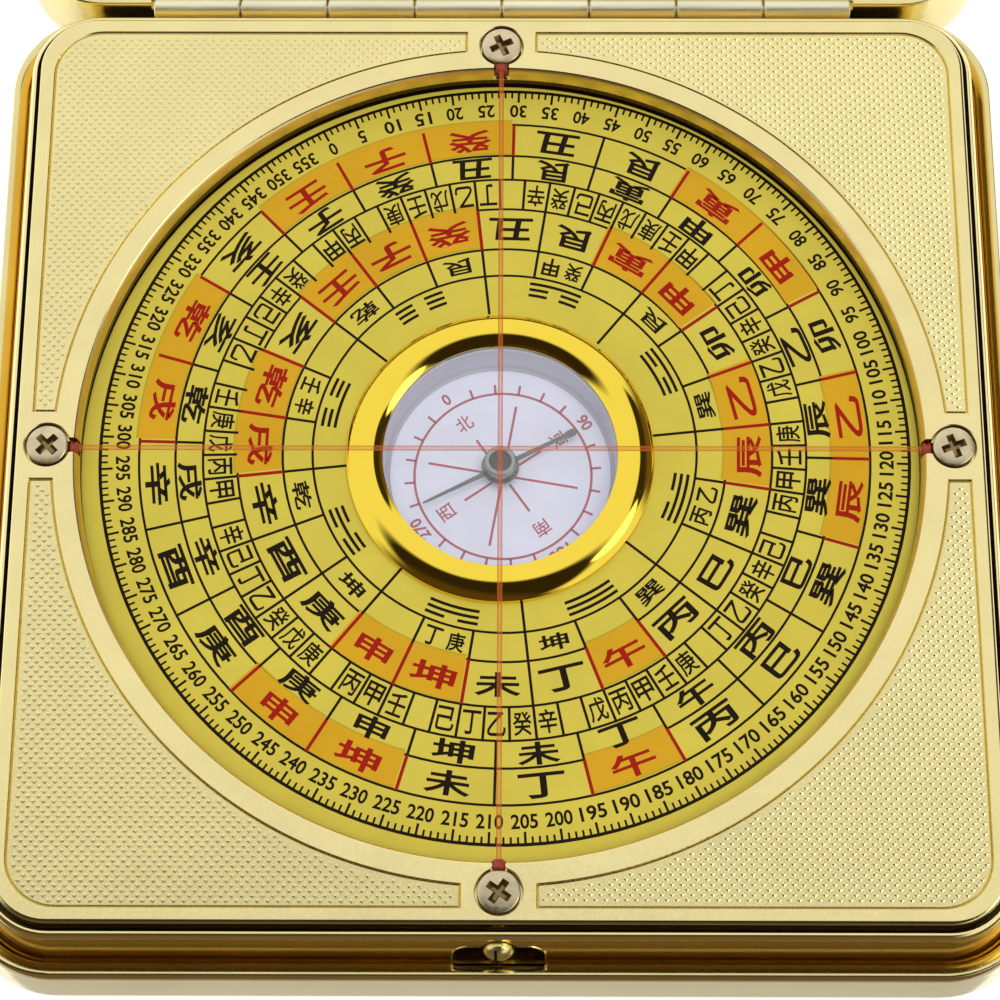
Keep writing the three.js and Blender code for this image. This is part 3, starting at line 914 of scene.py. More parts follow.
@dataclass
class PlateScrew:
    """A plate screw: a low domed head with a cross recess, on a plain shank."""

    circle: float = 34.8
    head: float = 1.6
    head_ease: float = 0.16
    ease_end: float = 78.0
    crown_fall: float = 0.07
    crown: Profile = ((1.1, 0.035), (0.7, 0.01), (0.3, 0.0))
    under_bevel: float = 0.05
    seat_depth: float = 0.8
    seat_gap: float = 0.15
    hole: float = 0.95
    shank: float = 0.8
    tip_radius: float = 0.3
    tip_length: float = 0.5
    cross_floor: Spot = (0.62, 0.13)
    cross_mouth: Spot = (1.02, 0.31)
    cross_depth: float = 0.55
    cross_past: float = 0.05

    def spot(self, turn: float) -> Spot:
        """Gives a screw's middle on the screws' circle, at an angle anticlockwise from +X."""
        return self.circle * math.cos(math.radians(turn)), self.circle * math.sin(math.radians(turn))

    def build(self, node: str, seat: float, turn: float, cross_turn: float) -> None:
        """Makes one screw.

        Args:
            node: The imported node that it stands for.
            seat: The height of the seat under its head.
            turn: The angle of its place on the circle.
            cross_turn: The angle that its recess is turned by.
        """
        tip, top = heights(node)
        head, ease, bevel = self.head, self.head_ease, self.under_bevel
        outline = [(self.tip_radius, tip), (self.shank, tip + self.tip_length), (self.shank, seat),
                   (head - bevel, seat), (head, seat + bevel),
                   *arc((head - ease, top - self.crown_fall - ease), ease, 0, self.ease_end, 5),
                   *((radius, top - fall) for radius, fall in self.crown)]
        screw = moved(lathe(outline, 64, False), *self.spot(turn)).piece(f"{node}_fine")
        # the cross recess takes finish 1, a painted shade in its arms
        recess = prism([(self.cross(*self.cross_floor), top - self.cross_depth),
                        (self.cross(*self.cross_mouth), top + self.cross_past)]).numbered(1)
        tool = moved(moved(recess, turn=cross_turn), *self.spot(turn))
        carved(finished(screw, NICKEL, RECESS_PAINTED_SHADE), [tool], smooth=26)
        report(screw, "base", "screw_nickel", node)

    def cross(self, reach: float, half: float) -> Outline:
        """Gives the outline of a cross with four arms.

        Args:
            reach: How far each arm reaches.
            half: Half an arm's width.

        Returns:
            The outline, anticlockwise.
        """
        arm = [(reach, -half), (reach, half), (half, half)]
        turns = ((1, 0), (0, 1), (-1, 0), (0, -1))
        return [(x * cos - y * sin, x * sin + y * cos) for cos, sin in turns for x, y in arm]


@dataclass
class SightThread:
    """A sight thread, drawn tight between two knots that sit in the plate's notches."""

    opening: float
    seat: float
    radius: float = 0.19
    hold: float = 0.5
    knot: float = 0.42
    knot_start: float = 0.02
    knot_end: float = 0.12
    knot_rise: float = 0.16
    knot_fall: float = 0.14
    knot_waist: float = 0.86
    knot_collar: float = 0.08
    knot_spread: float = 1.3
    knot_drop: float = 0.1

    def build(self, node: str, turn: float) -> None:
        """Makes the thread and its two knots.

        Args:
            node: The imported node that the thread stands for.
            turn: The angle that the thread runs at, anticlockwise from +X.
        """
        height = sum(heights(node)) / 2
        span = self.opening + self.hold
        bar = plug(self.radius, -span, span, 20).laid()
        line = moved(bar, z=height, turn=turn).piece(f"{node}_line", 40)
        line.visible_shadow = False
        line.visible_glossy = False
        report(finished(line, THREAD_ORANGE), "base", "thread_orange", node)
        start, end, knot = self.opening + self.knot_start, self.seat + self.knot_end, self.knot
        lumps = [(self.radius + self.knot_collar, start), (knot, start + self.knot_rise),
                 (knot * self.knot_waist, (start + end) / 2), (knot, end - self.knot_fall),
                 (self.radius, end)]
        knots = Shape()
        for side in (0, 180):
            lump = lathe(lumps, 20, False).flipped().mapped(lambda x, y, z: (z, y * self.knot_spread, x))
            knots.join(moved(lump, z=height - self.knot_drop, turn=turn + side))
        report(finished(knots.piece(f"{node}_knots", 60), KNOT_RED), "base", "thread_orange")


@dataclass
class Platform:
    """The raised platform: the polished frame and the face plate, with its screws and threads."""

    screw: PlateScrew = field(default_factory=PlateScrew)
    screws: tuple[tuple[str, float], ...] = (("right", 20), ("back", 25), ("left", 45), ("front", 55))
    plate_half: float = from_pack("face_plate", 0)
    plate_top: float = from_pack("face_plate", 2)
    frame_top: float = from_pack("face_plate", 2, False)
    frame_half: float = from_pack("inner_frame", 0)
    frame_under: float = from_pack("inner_frame", 2, False)
    plate_corner: float = 4.4
    plate_round: float = 0.3
    plate_bevel: float = 0.12
    opening: float = 32.4
    opening_ease: Spot = (0.42, 1.3)
    seat_bevel: Spot = (0.16, 0.08)
    notch_width: float = 1.2
    notch_depth: float = 1.25
    foot_inset: float = 0.1
    foot_top: float = 4.6
    flare: float = 0.25
    flare_low: float = 4.95
    flare_top: float = 5.35
    flare_ease: Profile = ((0.0, 0.0), (0.11, 0.07), (0.2, 0.25))
    side: Profile = ((38.68, 5.9), (38.63, 6.4), (38.55, 7.0), (38.43, 7.7), (38.30, 8.3), (38.18, 8.8),
                     (38.07, 9.2))
    lip_top: float = 10.0
    lip_outer: float = 38.09
    lip_inner: float = 37.58
    lip_slope: Profile = ((0.0, 0.6), (0.05, 0.38), (0.13, 0.2), (0.22, 0.08), (0.33, 0.0))
    lip_ease: Profile = ((0.04, 0.0), (0.0, 0.1))
    groove_floor: float = 8.6
    groove_taper: float = 0.02
    land: float = 2.0
    dish_radius: float = 33.4
    dish_depth: float = 2.1
    bore_radius: float = 12.1
    arch_width: float = 6.9
    arch_corner: float = 1.5
    arch_top: float = 8.35
    arch_rim: float = 0.09
    arch_rim_foot: float = 0.1
    stud_gap: float = 0.12
    relief_gap: float = 0.1
    pocket_half: float = 5.2
    pocket_front: float = 37.6
    pocket_back: float = 36.05
    pocket_rise: float = 0.15

    def build(self) -> None:
        """Makes the whole platform."""
        self.inner_frame()
        self.plate()
        self.fields()
        seat = self.plate_top - self.screw.seat_depth
        for turn, (side, cross_turn) in zip(QUARTERS, self.screws):
            self.screw.build(f"plate_screw_{side}", seat, turn, cross_turn)
        thread = SightThread(self.opening, self.screw.circle - self.screw.head - self.screw.seat_gap)
        thread.build("sight_thread_across", 0)
        thread.build("sight_thread_along", 90)

    def plate(self) -> None:
        """Makes the face plate with its opening, seats, notches and recesses."""
        top, low = self.plate_top, self.frame_top
        roll = arc((self.plate_round, top - self.plate_round), self.plate_round, 180, 90, 8)
        foot = [(self.plate_bevel, low), (0.0, low + self.plate_bevel)]
        plate = squared(foot + roll, self.plate_half, self.plate_corner).piece("face_plate_fine")
        finished(plate, PLATE_GOLD, OPENING_PAINTED_SHADE, SEAT_PAINTED_SHADE, OPENING_GOLD)
        seat = self.screw.head + self.screw.seat_gap
        wide, tall = self.seat_bevel
        steps = [(seat, top - self.screw.seat_depth), (seat, top - tall), (seat + wide, top + tall)]
        # the well's upright wall takes finish 2, a painted shade
        well = lathe(steps, 64, False, (2,))
        hole = plug(self.screw.hole, low - PAST, top, 48)
        recess = Field().recess(top)
        tools = [self.opening_tool()]
        for turn in QUARTERS:
            spot = self.screw.spot(turn)
            tools += [moved(well, *spot), moved(hole, *spot), self.notch(turn), moved(recess, turn=turn)]
        report(levelled(carved(plate, tools, smooth=28)), "base", "embossed_gold", "face_plate")

    def opening_tool(self) -> Shape:
        """Makes the cut for the round opening, whose upper edge is eased more in height than in width.

        Returns:
            The tool: its upright wall takes a painted shade, nearly black, for the shadow between plate and
                dial, and its eased edge is gold.
        """
        radius, top, (wide, tall) = self.opening, self.plate_top, self.opening_ease
        steps, gold = 12, 10
        bend = arc((0, 0), 1, 180, 90, steps)
        ease = [(radius + wide * (1 + x), top - tall * (1 - y)) for x, y in bend]
        outline = [(radius, self.frame_top - PAST), *ease, (radius + wide, top + PAST)]
        # finish 1 paints shade on the upright wall, finish 3 is the gold of the eased edge
        return lathe(outline, 240, False, (1, *[3] * gold))

    def notch(self, turn: float) -> Shape:
        """Makes the cut for a thread's knot, between the opening and a screw.

        Args:
            turn: The angle of its place, anticlockwise from +X.

        Returns:
            The tool.
        """
        half, deep = self.notch_width / 2, self.plate_top - self.notch_depth
        start, end = self.opening - PAST, self.screw.circle - self.screw.head / 2
        return moved(block((start, end), (-half, half), (deep, self.plate_top + PAST)), turn=turn)

    def fields(self) -> None:
        """Makes the bed and the pyramids of each corner field."""
        bed, pyramids = Field().bedding(self.plate_top), Field().pyramids(self.plate_top)
        for number, turn in enumerate(QUARTERS, 1):
            for shape, name, smooth in ((bed, "field_bed", 20), (pyramids, "field_pyramids", 12)):
                piece = moved(shape, turn=turn).piece(f"{name}_{number}", smooth)
                report(finished(piece, FIELD_GOLD), "base", "embossed_gold")

    def wall(self) -> Outline:
        """Gives the frame's outer side, from its foot to the land under the face plate.

        Returns:
            Half widths and heights: six points of the foot, seven of the wall, seven of the lip, two of
            the groove and two of the land.
        """
        low, flare = self.frame_half - self.foot_inset, self.frame_half + self.flare
        foot = [(low, self.frame_under), (low, self.foot_top), (flare, self.flare_low)]
        foot += [(flare - inset, self.flare_top + rise) for inset, rise in self.flare_ease]
        lip = [(self.lip_outer - inset, self.lip_top - fall) for inset, fall in self.lip_slope]
        lip += [(self.lip_inner + gap, self.lip_top - fall) for gap, fall in self.lip_ease]
        groove = [(self.lip_inner - self.groove_taper, self.groove_floor),
                  (self.plate_half + self.groove_taper, self.groove_floor)]
        land = [(self.plate_half, self.frame_top), (self.plate_half - self.land, self.frame_top)]
        return [*foot, *self.side, *lip, *groove, *land]

    def half_at(self, z: float) -> float:
        """Gives half the frame's width at a height between the flare's top and the lip's top."""
        side = self.wall()[3:-6]  # the points between those two
        return float(np.interp(z, [height for _, height in side], [half for half, _ in side]))

    def inner_frame(self) -> None:
        """Makes the polished frame with its dish, bore and latch window, and the window's bright edge."""
        outline = [(self.frame_half - half, z) for half, z in self.wall()]
        corner = self.plate_corner + self.frame_half - self.plate_half
        # the groove's bands take finish 3, a painted shade for the shadow in the gap round the plate
        numbers = [0] * 13 + [2] * 6 + [3] * 3  # foot and wall, lip, groove
        body = squared(outline, self.frame_half, corner, numbers).piece("inner_frame_fine")
        finished(body, WALL_GOLD, POLISHED_GOLD, LIP_GOLD, GROOVE_PAINTED_SHADE)
        top, low = self.frame_top, self.frame_under - PAST
        # the dish's wall takes finish 3, the same painted shade
        dish = plug(self.dish_radius, top - self.dish_depth, top + PAST, 192, (3,))
        tools = [dish, plug(self.bore_radius, low, top, 96), self.pocket(), self.arch(), self.stud_relief()]
        hole = plug(self.screw.hole, low, top + PAST, 32)
        tools += [moved(hole, *self.screw.spot(turn)) for turn in QUARTERS]
        report(levelled(carved(body, tools)), "base", "polished_gold", "inner_frame")
        rim = Shape()
        for path in self.arch_edges():
            rim.join(rod(path, self.arch_rim, 10))
        report(finished(rim.piece("latch_window_rim", 60), LIP_GOLD), "base", "polished_gold")

    def shoulder(self, side: int) -> Outline:
        """Gives the round shoulder of the latch window.

        Args:
            side: 1 for the one at +X, -1 for the one at -X.

        Returns:
            Its points as (x, z), anticlockwise.
        """
        centre = (side * (self.arch_width / 2 - self.arch_corner), self.arch_top - self.arch_corner)
        start = 0 if side > 0 else 90
        return arc(centre, self.arch_corner, start, start + 90, 10)

    def arch_edges(self) -> list[list[Point]]:
        """Gives the latch window's two edges on the frame's outer wall.

        Returns:
            Two paths from the wall's foot up to the stud's head, which parts them.
        """
        foot = (self.arch_width / 2, self.flare_top + self.arch_rim_foot)
        outline = [foot, *self.shoulder(1), (Latch().width + self.stud_gap, self.arch_top)]
        return [[(x * side, -self.half_at(z), z) for x, z in outline] for side in (1, -1)]

    def arch(self) -> Shape:
        """Makes the cut for the latch window, an arch with round shoulders.

        Returns:
            The tool.
        """
        half, low = self.arch_width / 2, self.frame_under - PAST
        outline = [(-half, low), (half, low), *self.shoulder(1), *self.shoulder(-1)]
        middle = (self.pocket_front + self.pocket_back) / 2
        arch = prism([(outline, middle), (outline, self.frame_half + PAST)])
        return arch.mapped(lambda x, y, z: (x, -z, y))

    def stud_relief(self) -> Shape:
        """Makes the round relief over the latch window that the stud's head passes.

        Returns:
            The tool.
        """
        latch = Latch()
        width, rise = latch.width + self.relief_gap, latch.rise + self.relief_gap
        relief = plug(1.0, self.pocket_front - self.relief_gap, self.frame_half + PAST, 48)
        return relief.mapped(lambda x, y, z: (x * width, -z, latch.middle + y * rise))

    def pocket(self) -> Shape:
        """Makes the cut for the pocket behind the front wall."""
        height = (self.frame_under - PAST, self.arch_top + self.pocket_rise)
        return block((-self.pocket_half, self.pocket_half), (-self.pocket_front, -self.pocket_back), height)


# The dial


class Print(Shape):
    """Flat print in the making, at radii and at headings clockwise from +Y."""

    FACET = 2.5  # the longest step of a curve, in degrees

    def band(self, inner: float, outer: float, start: float, end: float, height: float) -> None:
        """Adds a band.

        Args:
            inner: Its inner radius.
            outer: Its outer radius.
            start: The heading that it starts at.
            end: The heading that it ends at.
            height: The height of its surface.
        """
        steps = max(1, math.ceil((end - start) / self.FACET))
        turns = [math.radians(start + (end - start) * step / steps) for step in range(steps + 1)]
        points = [(r * math.sin(t), r * math.cos(t), height) for t in turns for r in (inner, outer)]
        self.add(points, [(a - 1, a + 1, a, a - 2) for a in range(2, 2 * steps + 1, 2)])

    def circle(self, radius: float, line: float, height: float) -> None:
        """Adds a circle, drawn with a line of a width."""
        self.band(radius - line / 2, radius + line / 2, 0, 360, height)

    def ray(self, inner: float, outer: float, heading: float, width: float, height: float) -> None:
        """Adds a straight line along a radius.

        Args:
            inner: The radius that it starts at.
            outer: The radius that it ends at.
            heading: Its heading.
            width: Its width.
            height: The height of its surface.
        """
        turn = math.radians(heading)
        along = np.array((math.sin(turn), math.cos(turn)))
        across = np.array((math.cos(turn), -math.sin(turn)))
        ends = ((inner, -1), (inner, 1), (outer, 1), (outer, -1))
        corners = [along * radius + across * side * width / 2 for radius, side in ends]
        self.add([(x, y, height) for x, y in corners], [(0, 1, 2, 3)])


class Typeface:
    """Sets signs and numbers in a plain typeface, as flat meshes."""

    CURVE_STEPS = 3
    FRONT = 0.1  # the least upward part of the normal of a letter's front face

    def __init__(self, weight: float) -> None:
        """Starts a typeface whose strokes are widened on each side by a weight, as a share of its size."""
        self.weight = weight
        self.cut: dict[str, tuple[np.ndarray, list[tuple[int, ...]]]] = {}

    def glyphs(self, text: str) -> tuple[np.ndarray, list[tuple[int, ...]]]:
        """Cuts a text once and keeps it.

        Args:
            text: The text.

        Returns:
            Its points, scaled to a box of one by one about its centre, and its faces.
        """
        if text not in self.cut:
            curve = bpy.data.curves.new("lettering", "FONT")
            curve.body = text
            curve.resolution_u = self.CURVE_STEPS
            curve.bevel_depth = self.weight
            curve.bevel_resolution = 0
            letters = bpy.data.objects.new("lettering", curve)
            bpy.context.scene.collection.objects.link(letters)
            view = bpy.context.evaluated_depsgraph_get()
            mesh = bpy.data.meshes.new_from_object(letters.evaluated_get(view))
            front = [face for face in mesh.polygons if face.normal.z > self.FRONT and face.center.z > 1e-6]
            used = sorted({corner for face in front for corner in face.vertices})
            place = {corner: number for number, corner in enumerate(used)}
            points = np.array([mesh.vertices[corner].co[:2] for corner in used])
            low, high = points.min(0), points.max(0)
            points = (points - (low + high) / 2) / (high - low)
            self.cut[text] = points, [tuple(place[corner] for corner in face.vertices) for face in front]
            bpy.data.objects.remove(letters)
            bpy.data.meshes.remove(mesh)
            bpy.data.curves.remove(curve)
        return self.cut[text]

    def set(self, shape: Shape, text: str, radius: float, heading: float, size: Spot, height: float,
            inward: bool = True) -> None:
        """Sets a text on a ring.

        Args:
            shape: The shape that the text is added to.
            text: The text.
            radius: The radius of its centre.
            heading: Its heading, clockwise from +Y.
            size: Its width and height.
            height: The height of its surface.
            inward: True if its top points to the centre, False if it points outwards.
        """
        points, faces = self.glyphs(text)
        turn = math.radians(heading)
        out = np.array((math.sin(turn), math.cos(turn)))
        up = -out if inward else out
        right = np.array((up[1], -up[0]))
        placed = out * radius + points[:, :1] * size[0] * right + points[:, 1:] * size[1] * up
        shape.add([(x, y, height) for x, y in placed], faces)


@dataclass
class Scale:
    """The dial's printed rings, at headings clockwise from its zero."""

    zero: float = -28.0
    slip: float = 0.6
    drift: Spot = (0.33, 0.67)
    orange_drift: Spot = (-0.16, 0.26)
    top: float = from_pack("dial_disc", 2)
    layer: float = 0.004
    # the black ring under the plate's edge, a painted shadow rather than print
    border: Spot = (32.47, 32.97)
    ticks: float = 31.39
    tick_line: float = 0.26
    long_tick: Spot = (0.98, 0.19)
    short_tick: Spot = (0.6, 0.16)
    rings: tuple[float, ...] = (28.37, 25.55, 23.41, 20.77, 17.23, 14.91)
    core: float = 11.6
    cell: float = 15.0
    small_cell: float = 5.0
    sector: float = 45.0
    colored: tuple[tuple[int, int, float], ...] = ((0, 1, 0.0), (3, 4, -7.5))
    cell_shade: float = 0.16
    line: float = 0.19
    ray: float = 0.21
    red_ray: float = 0.26
    number_radius: float = 29.62
    number_widths: tuple[float, ...] = (0.62, 1.34, 2.02)
    number_height: float = 1.14
    number_weight: float = 0.022
    sign_size: Spot = (3.5, 1.95)
    middle_size: Spot = (3.2, 1.8)
    sign_weight: float = 0.024
    slim_share: float = 0.82
    stem_size: Spot = (1.4, 1.9)
    stem_weight: float = 0.015
    pair_size: Spot = (1.35, 1.55)
    pair_shift: float = 3.3
    near_size: Spot = (2.3, 1.35)
    inner_weight: float = 0.02
    trigram_inset: float = 0.55
    trigram_pitch: float = 0.5
    trigram_line: float = 0.24
    trigram_reach: float = 8.4
    trigram_gap: float = 2.1
    signs: str = "子癸丑艮寅甲卯乙辰巽巳丙午丁未坤申庚酉辛戌乾亥壬"
    lucky: str = "壬子癸寅甲乙辰午坤申戌乾"
    slim: str = "艮卯巳申甲"
    stems: str = (" 庚壬戊乙丁 辛癸己丙戊庚壬甲 丁己辛癸乙戊 庚壬甲丙 己辛癸乙丁 庚壬甲丙戊"
                  " 辛癸乙丁己 壬甲丙 庚戊癸乙丁己辛 甲丙戊庚壬 乙丁己辛癸 甲丙")
    corners: tuple[tuple[str, str], ...] = (("艮", "甲癸"), ("巽", "乙丙"), ("坤", "庚丁"), ("乾", "辛壬"))
    patterns: tuple[str, ...] = ("000", "100", "101", "110", "111", "011", "010", "001")

    def build(self) -> None:
        """Paints the shadow ring under the plate's edge, then prints every ring."""
        self.rim()
        self.cells()
        self.lines()
        self.ticks_and_rim_circle()
        self.degrees()
        self.mountains()
        self.small_signs()
        self.trigrams()

    def rim(self) -> None:
        """Paints a black ring on the disc under the plate's edge: a painted shadow of the gap under the
        plate.
        """
        shape = Print()
        shape.band(*self.border, 0, 360, self.level(1))
        report(finished(shape.piece("dial_painted_shadow"), PRINT_BLACK), "dial", "dial_print")

    def level(self, layer: float) -> float:
        """Gives the height of a print layer."""
        return self.top + self.layer * layer

    def place(self, name: str, shape: Shape, finish: Finish, slipped: bool = True,
              drifted: bool = False) -> None:
        """Turns a print to the dial's zero, shifts it and puts it on the dial.

        Args:
            name: The piece's name.
            shape: The print, its zero towards +Y.
            finish: Its ink.
            slipped: True if it is turned a little against the degree scale, as the rings of signs are.
            drifted: True if it is shifted a little more, as the orange cells are.
        """
        turn = -self.zero + (self.slip if slipped else 0.0)
        shift = [a + (b if drifted else 0.0) for a, b in zip(self.drift, self.orange_drift)]
        piece = moved(shape, shift[0], shift[1], turn=turn).piece(name)
        report(finished(piece, finish), "dial", "dial_print")

    def cells(self) -> None:
        """Prints the orange cells of the two coloured rings, each with a soft dark edge."""
        cells, shades = Print(), Print()
        for number, sign in enumerate(self.signs):
            if sign not in self.lucky:
                continue
            for outer, inner, start in self.colored:
                begin = start + self.cell * number
                low, high, end = self.rings[inner], self.rings[outer], begin + self.cell
                cells.band(low, high, begin, end, self.level(2))
                shades.band(low - self.cell_shade, high + self.cell_shade, begin, end, self.level(1))
        self.place("print_orange_cells", cells, CELL_ORANGE, drifted=True)
        self.place("print_cell_shades", shades, CELL_SHADE, drifted=True)

    def ticks_and_rim_circle(self) -> None:
        """Prints the circle round the scale and a tick at every degree."""
        shape = Print()
        shape.circle(self.ticks, self.tick_line, self.level(1.6))
        for degree in range(360):
            length, width = self.short_tick if degree % 5 else self.long_tick
            shape.ray(self.ticks - length, self.ticks, degree, width, self.level(2))
        self.place("print_degree_ticks", shape, PRINT_BLACK, slipped=False)

    def lines(self) -> None:
        """Prints the circles and the cells' radial lines."""
        black, red, rings, level = Print(), Print(), self.rings, self.level(3)
        for radius in rings:
            black.circle(radius, self.line, self.level(1.6))
        reds = [sign in self.lucky for sign in self.signs]
        for number in range(len(self.signs)):
            edged = reds[number] or reds[number - 1]
            heading = self.cell * number
            for outer, inner, start in self.colored:
                shape, width = (red, self.red_ray) if edged else (black, self.ray)
                shape.ray(rings[inner], rings[outer], start + heading, width, level)
            black.ray(rings[2], rings[1], heading, self.ray, level)
            black.ray(rings[5], rings[4], heading - self.cell / 2, self.ray, level)
        for number in range(round(360 / self.small_cell)):
            heading = self.small_cell * number + self.small_cell / 2
            black.ray(rings[3], rings[2], heading, self.ray, level)
        for number in range(len(self.patterns)):
            black.ray(self.core, rings[5], self.sector / 2 + self.sector * number, self.ray, level)
        self.place("print_black_lines", black, PRINT_BLACK)
        self.place("print_red_lines", red, PRINT_RED)

    def degrees(self) -> None:
        """Prints a number at every fifth degree."""
        face, shape = Typeface(self.number_weight), Print()
        for degree in range(0, 360, 5):
            text = str(degree)
            size = (self.number_widths[len(text) - 1], self.number_height)
            face.set(shape, text, self.number_radius, degree, size, self.level(2))
        self.place("print_degree_numbers", shape, PRINT_BLACK, slipped=False)

    def mountains(self) -> None:
        """Prints the three rings of twenty-four signs."""
        face, black, red = Typeface(self.sign_weight), Print(), Print()
        a, b, c, d, e = self.rings[:5]
        half, level = self.cell / 2, self.level(4)
        for number, sign in enumerate(self.signs):
            ink = red if sign in self.lucky else black
            share = self.slim_share if sign in self.slim else 1.0
            for shape, radius, shift, (wide, tall) in ((ink, (a + b) / 2, half, self.sign_size),
                                                       (black, (b + c) / 2, -half, self.middle_size),
                                                       (ink, (d + e) / 2, 0.0, self.sign_size)):
                heading = self.cell * number + shift
                face.set(shape, sign, radius, heading, (wide * share, tall), level)
        self.place("print_black_signs", black, PRINT_BLACK)
        self.place("print_red_signs", red, PRINT_RED)

    def small_signs(self) -> None:
        """Prints the stems in their small cells, and the signs of the narrow ring inside.

        The narrow ring has two small stems at each corner sign, and the corner sign next to both.
        """
        thin, heavy = Typeface(self.stem_weight), Typeface(self.inner_weight)
        shape, level = Print(), self.level(3)
        middle = (self.rings[2] + self.rings[3]) / 2
        for cell, stem in enumerate(self.stems):
            if stem != " ":
                thin.set(shape, stem, middle, self.small_cell * cell, self.stem_size, level)
        inner = (self.rings[4] + self.rings[5]) / 2
        pairs = dict(self.corners)
        near = {stem: corner for corner, stems in self.corners for stem in stems}
        for number, sign in enumerate(self.signs):
            heading = self.cell * number
            for text, shift in zip(pairs.get(sign, ""), (-self.pair_shift, self.pair_shift)):
                heavy.set(shape, text, inner, heading + shift, self.pair_size, level)
            if sign in near:
                heavy.set(shape, near[sign], inner, heading, self.near_size, level)
        self.place("print_small_signs", shape, PRINT_BLACK)

    def trigrams(self) -> None:
        """Prints the eight trigrams, their first line outermost."""
        shape, reach, gap = Print(), self.trigram_reach, self.trigram_gap
        parts = {"1": ((-reach, reach),), "0": ((-reach, -gap), (gap, reach))}
        for number, pattern in enumerate(self.patterns):
            heading = self.sector * number
            for row, kind in enumerate(pattern):
                radius = self.rings[5] - self.trigram_inset - self.trigram_pitch * row
                inner, outer = radius - self.trigram_line / 2, radius + self.trigram_line / 2
                for start, end in parts[kind]:
                    shape.band(inner, outer, heading + start, heading + end, self.level(3))
        self.place("print_trigrams", shape, PRINT_BLACK)


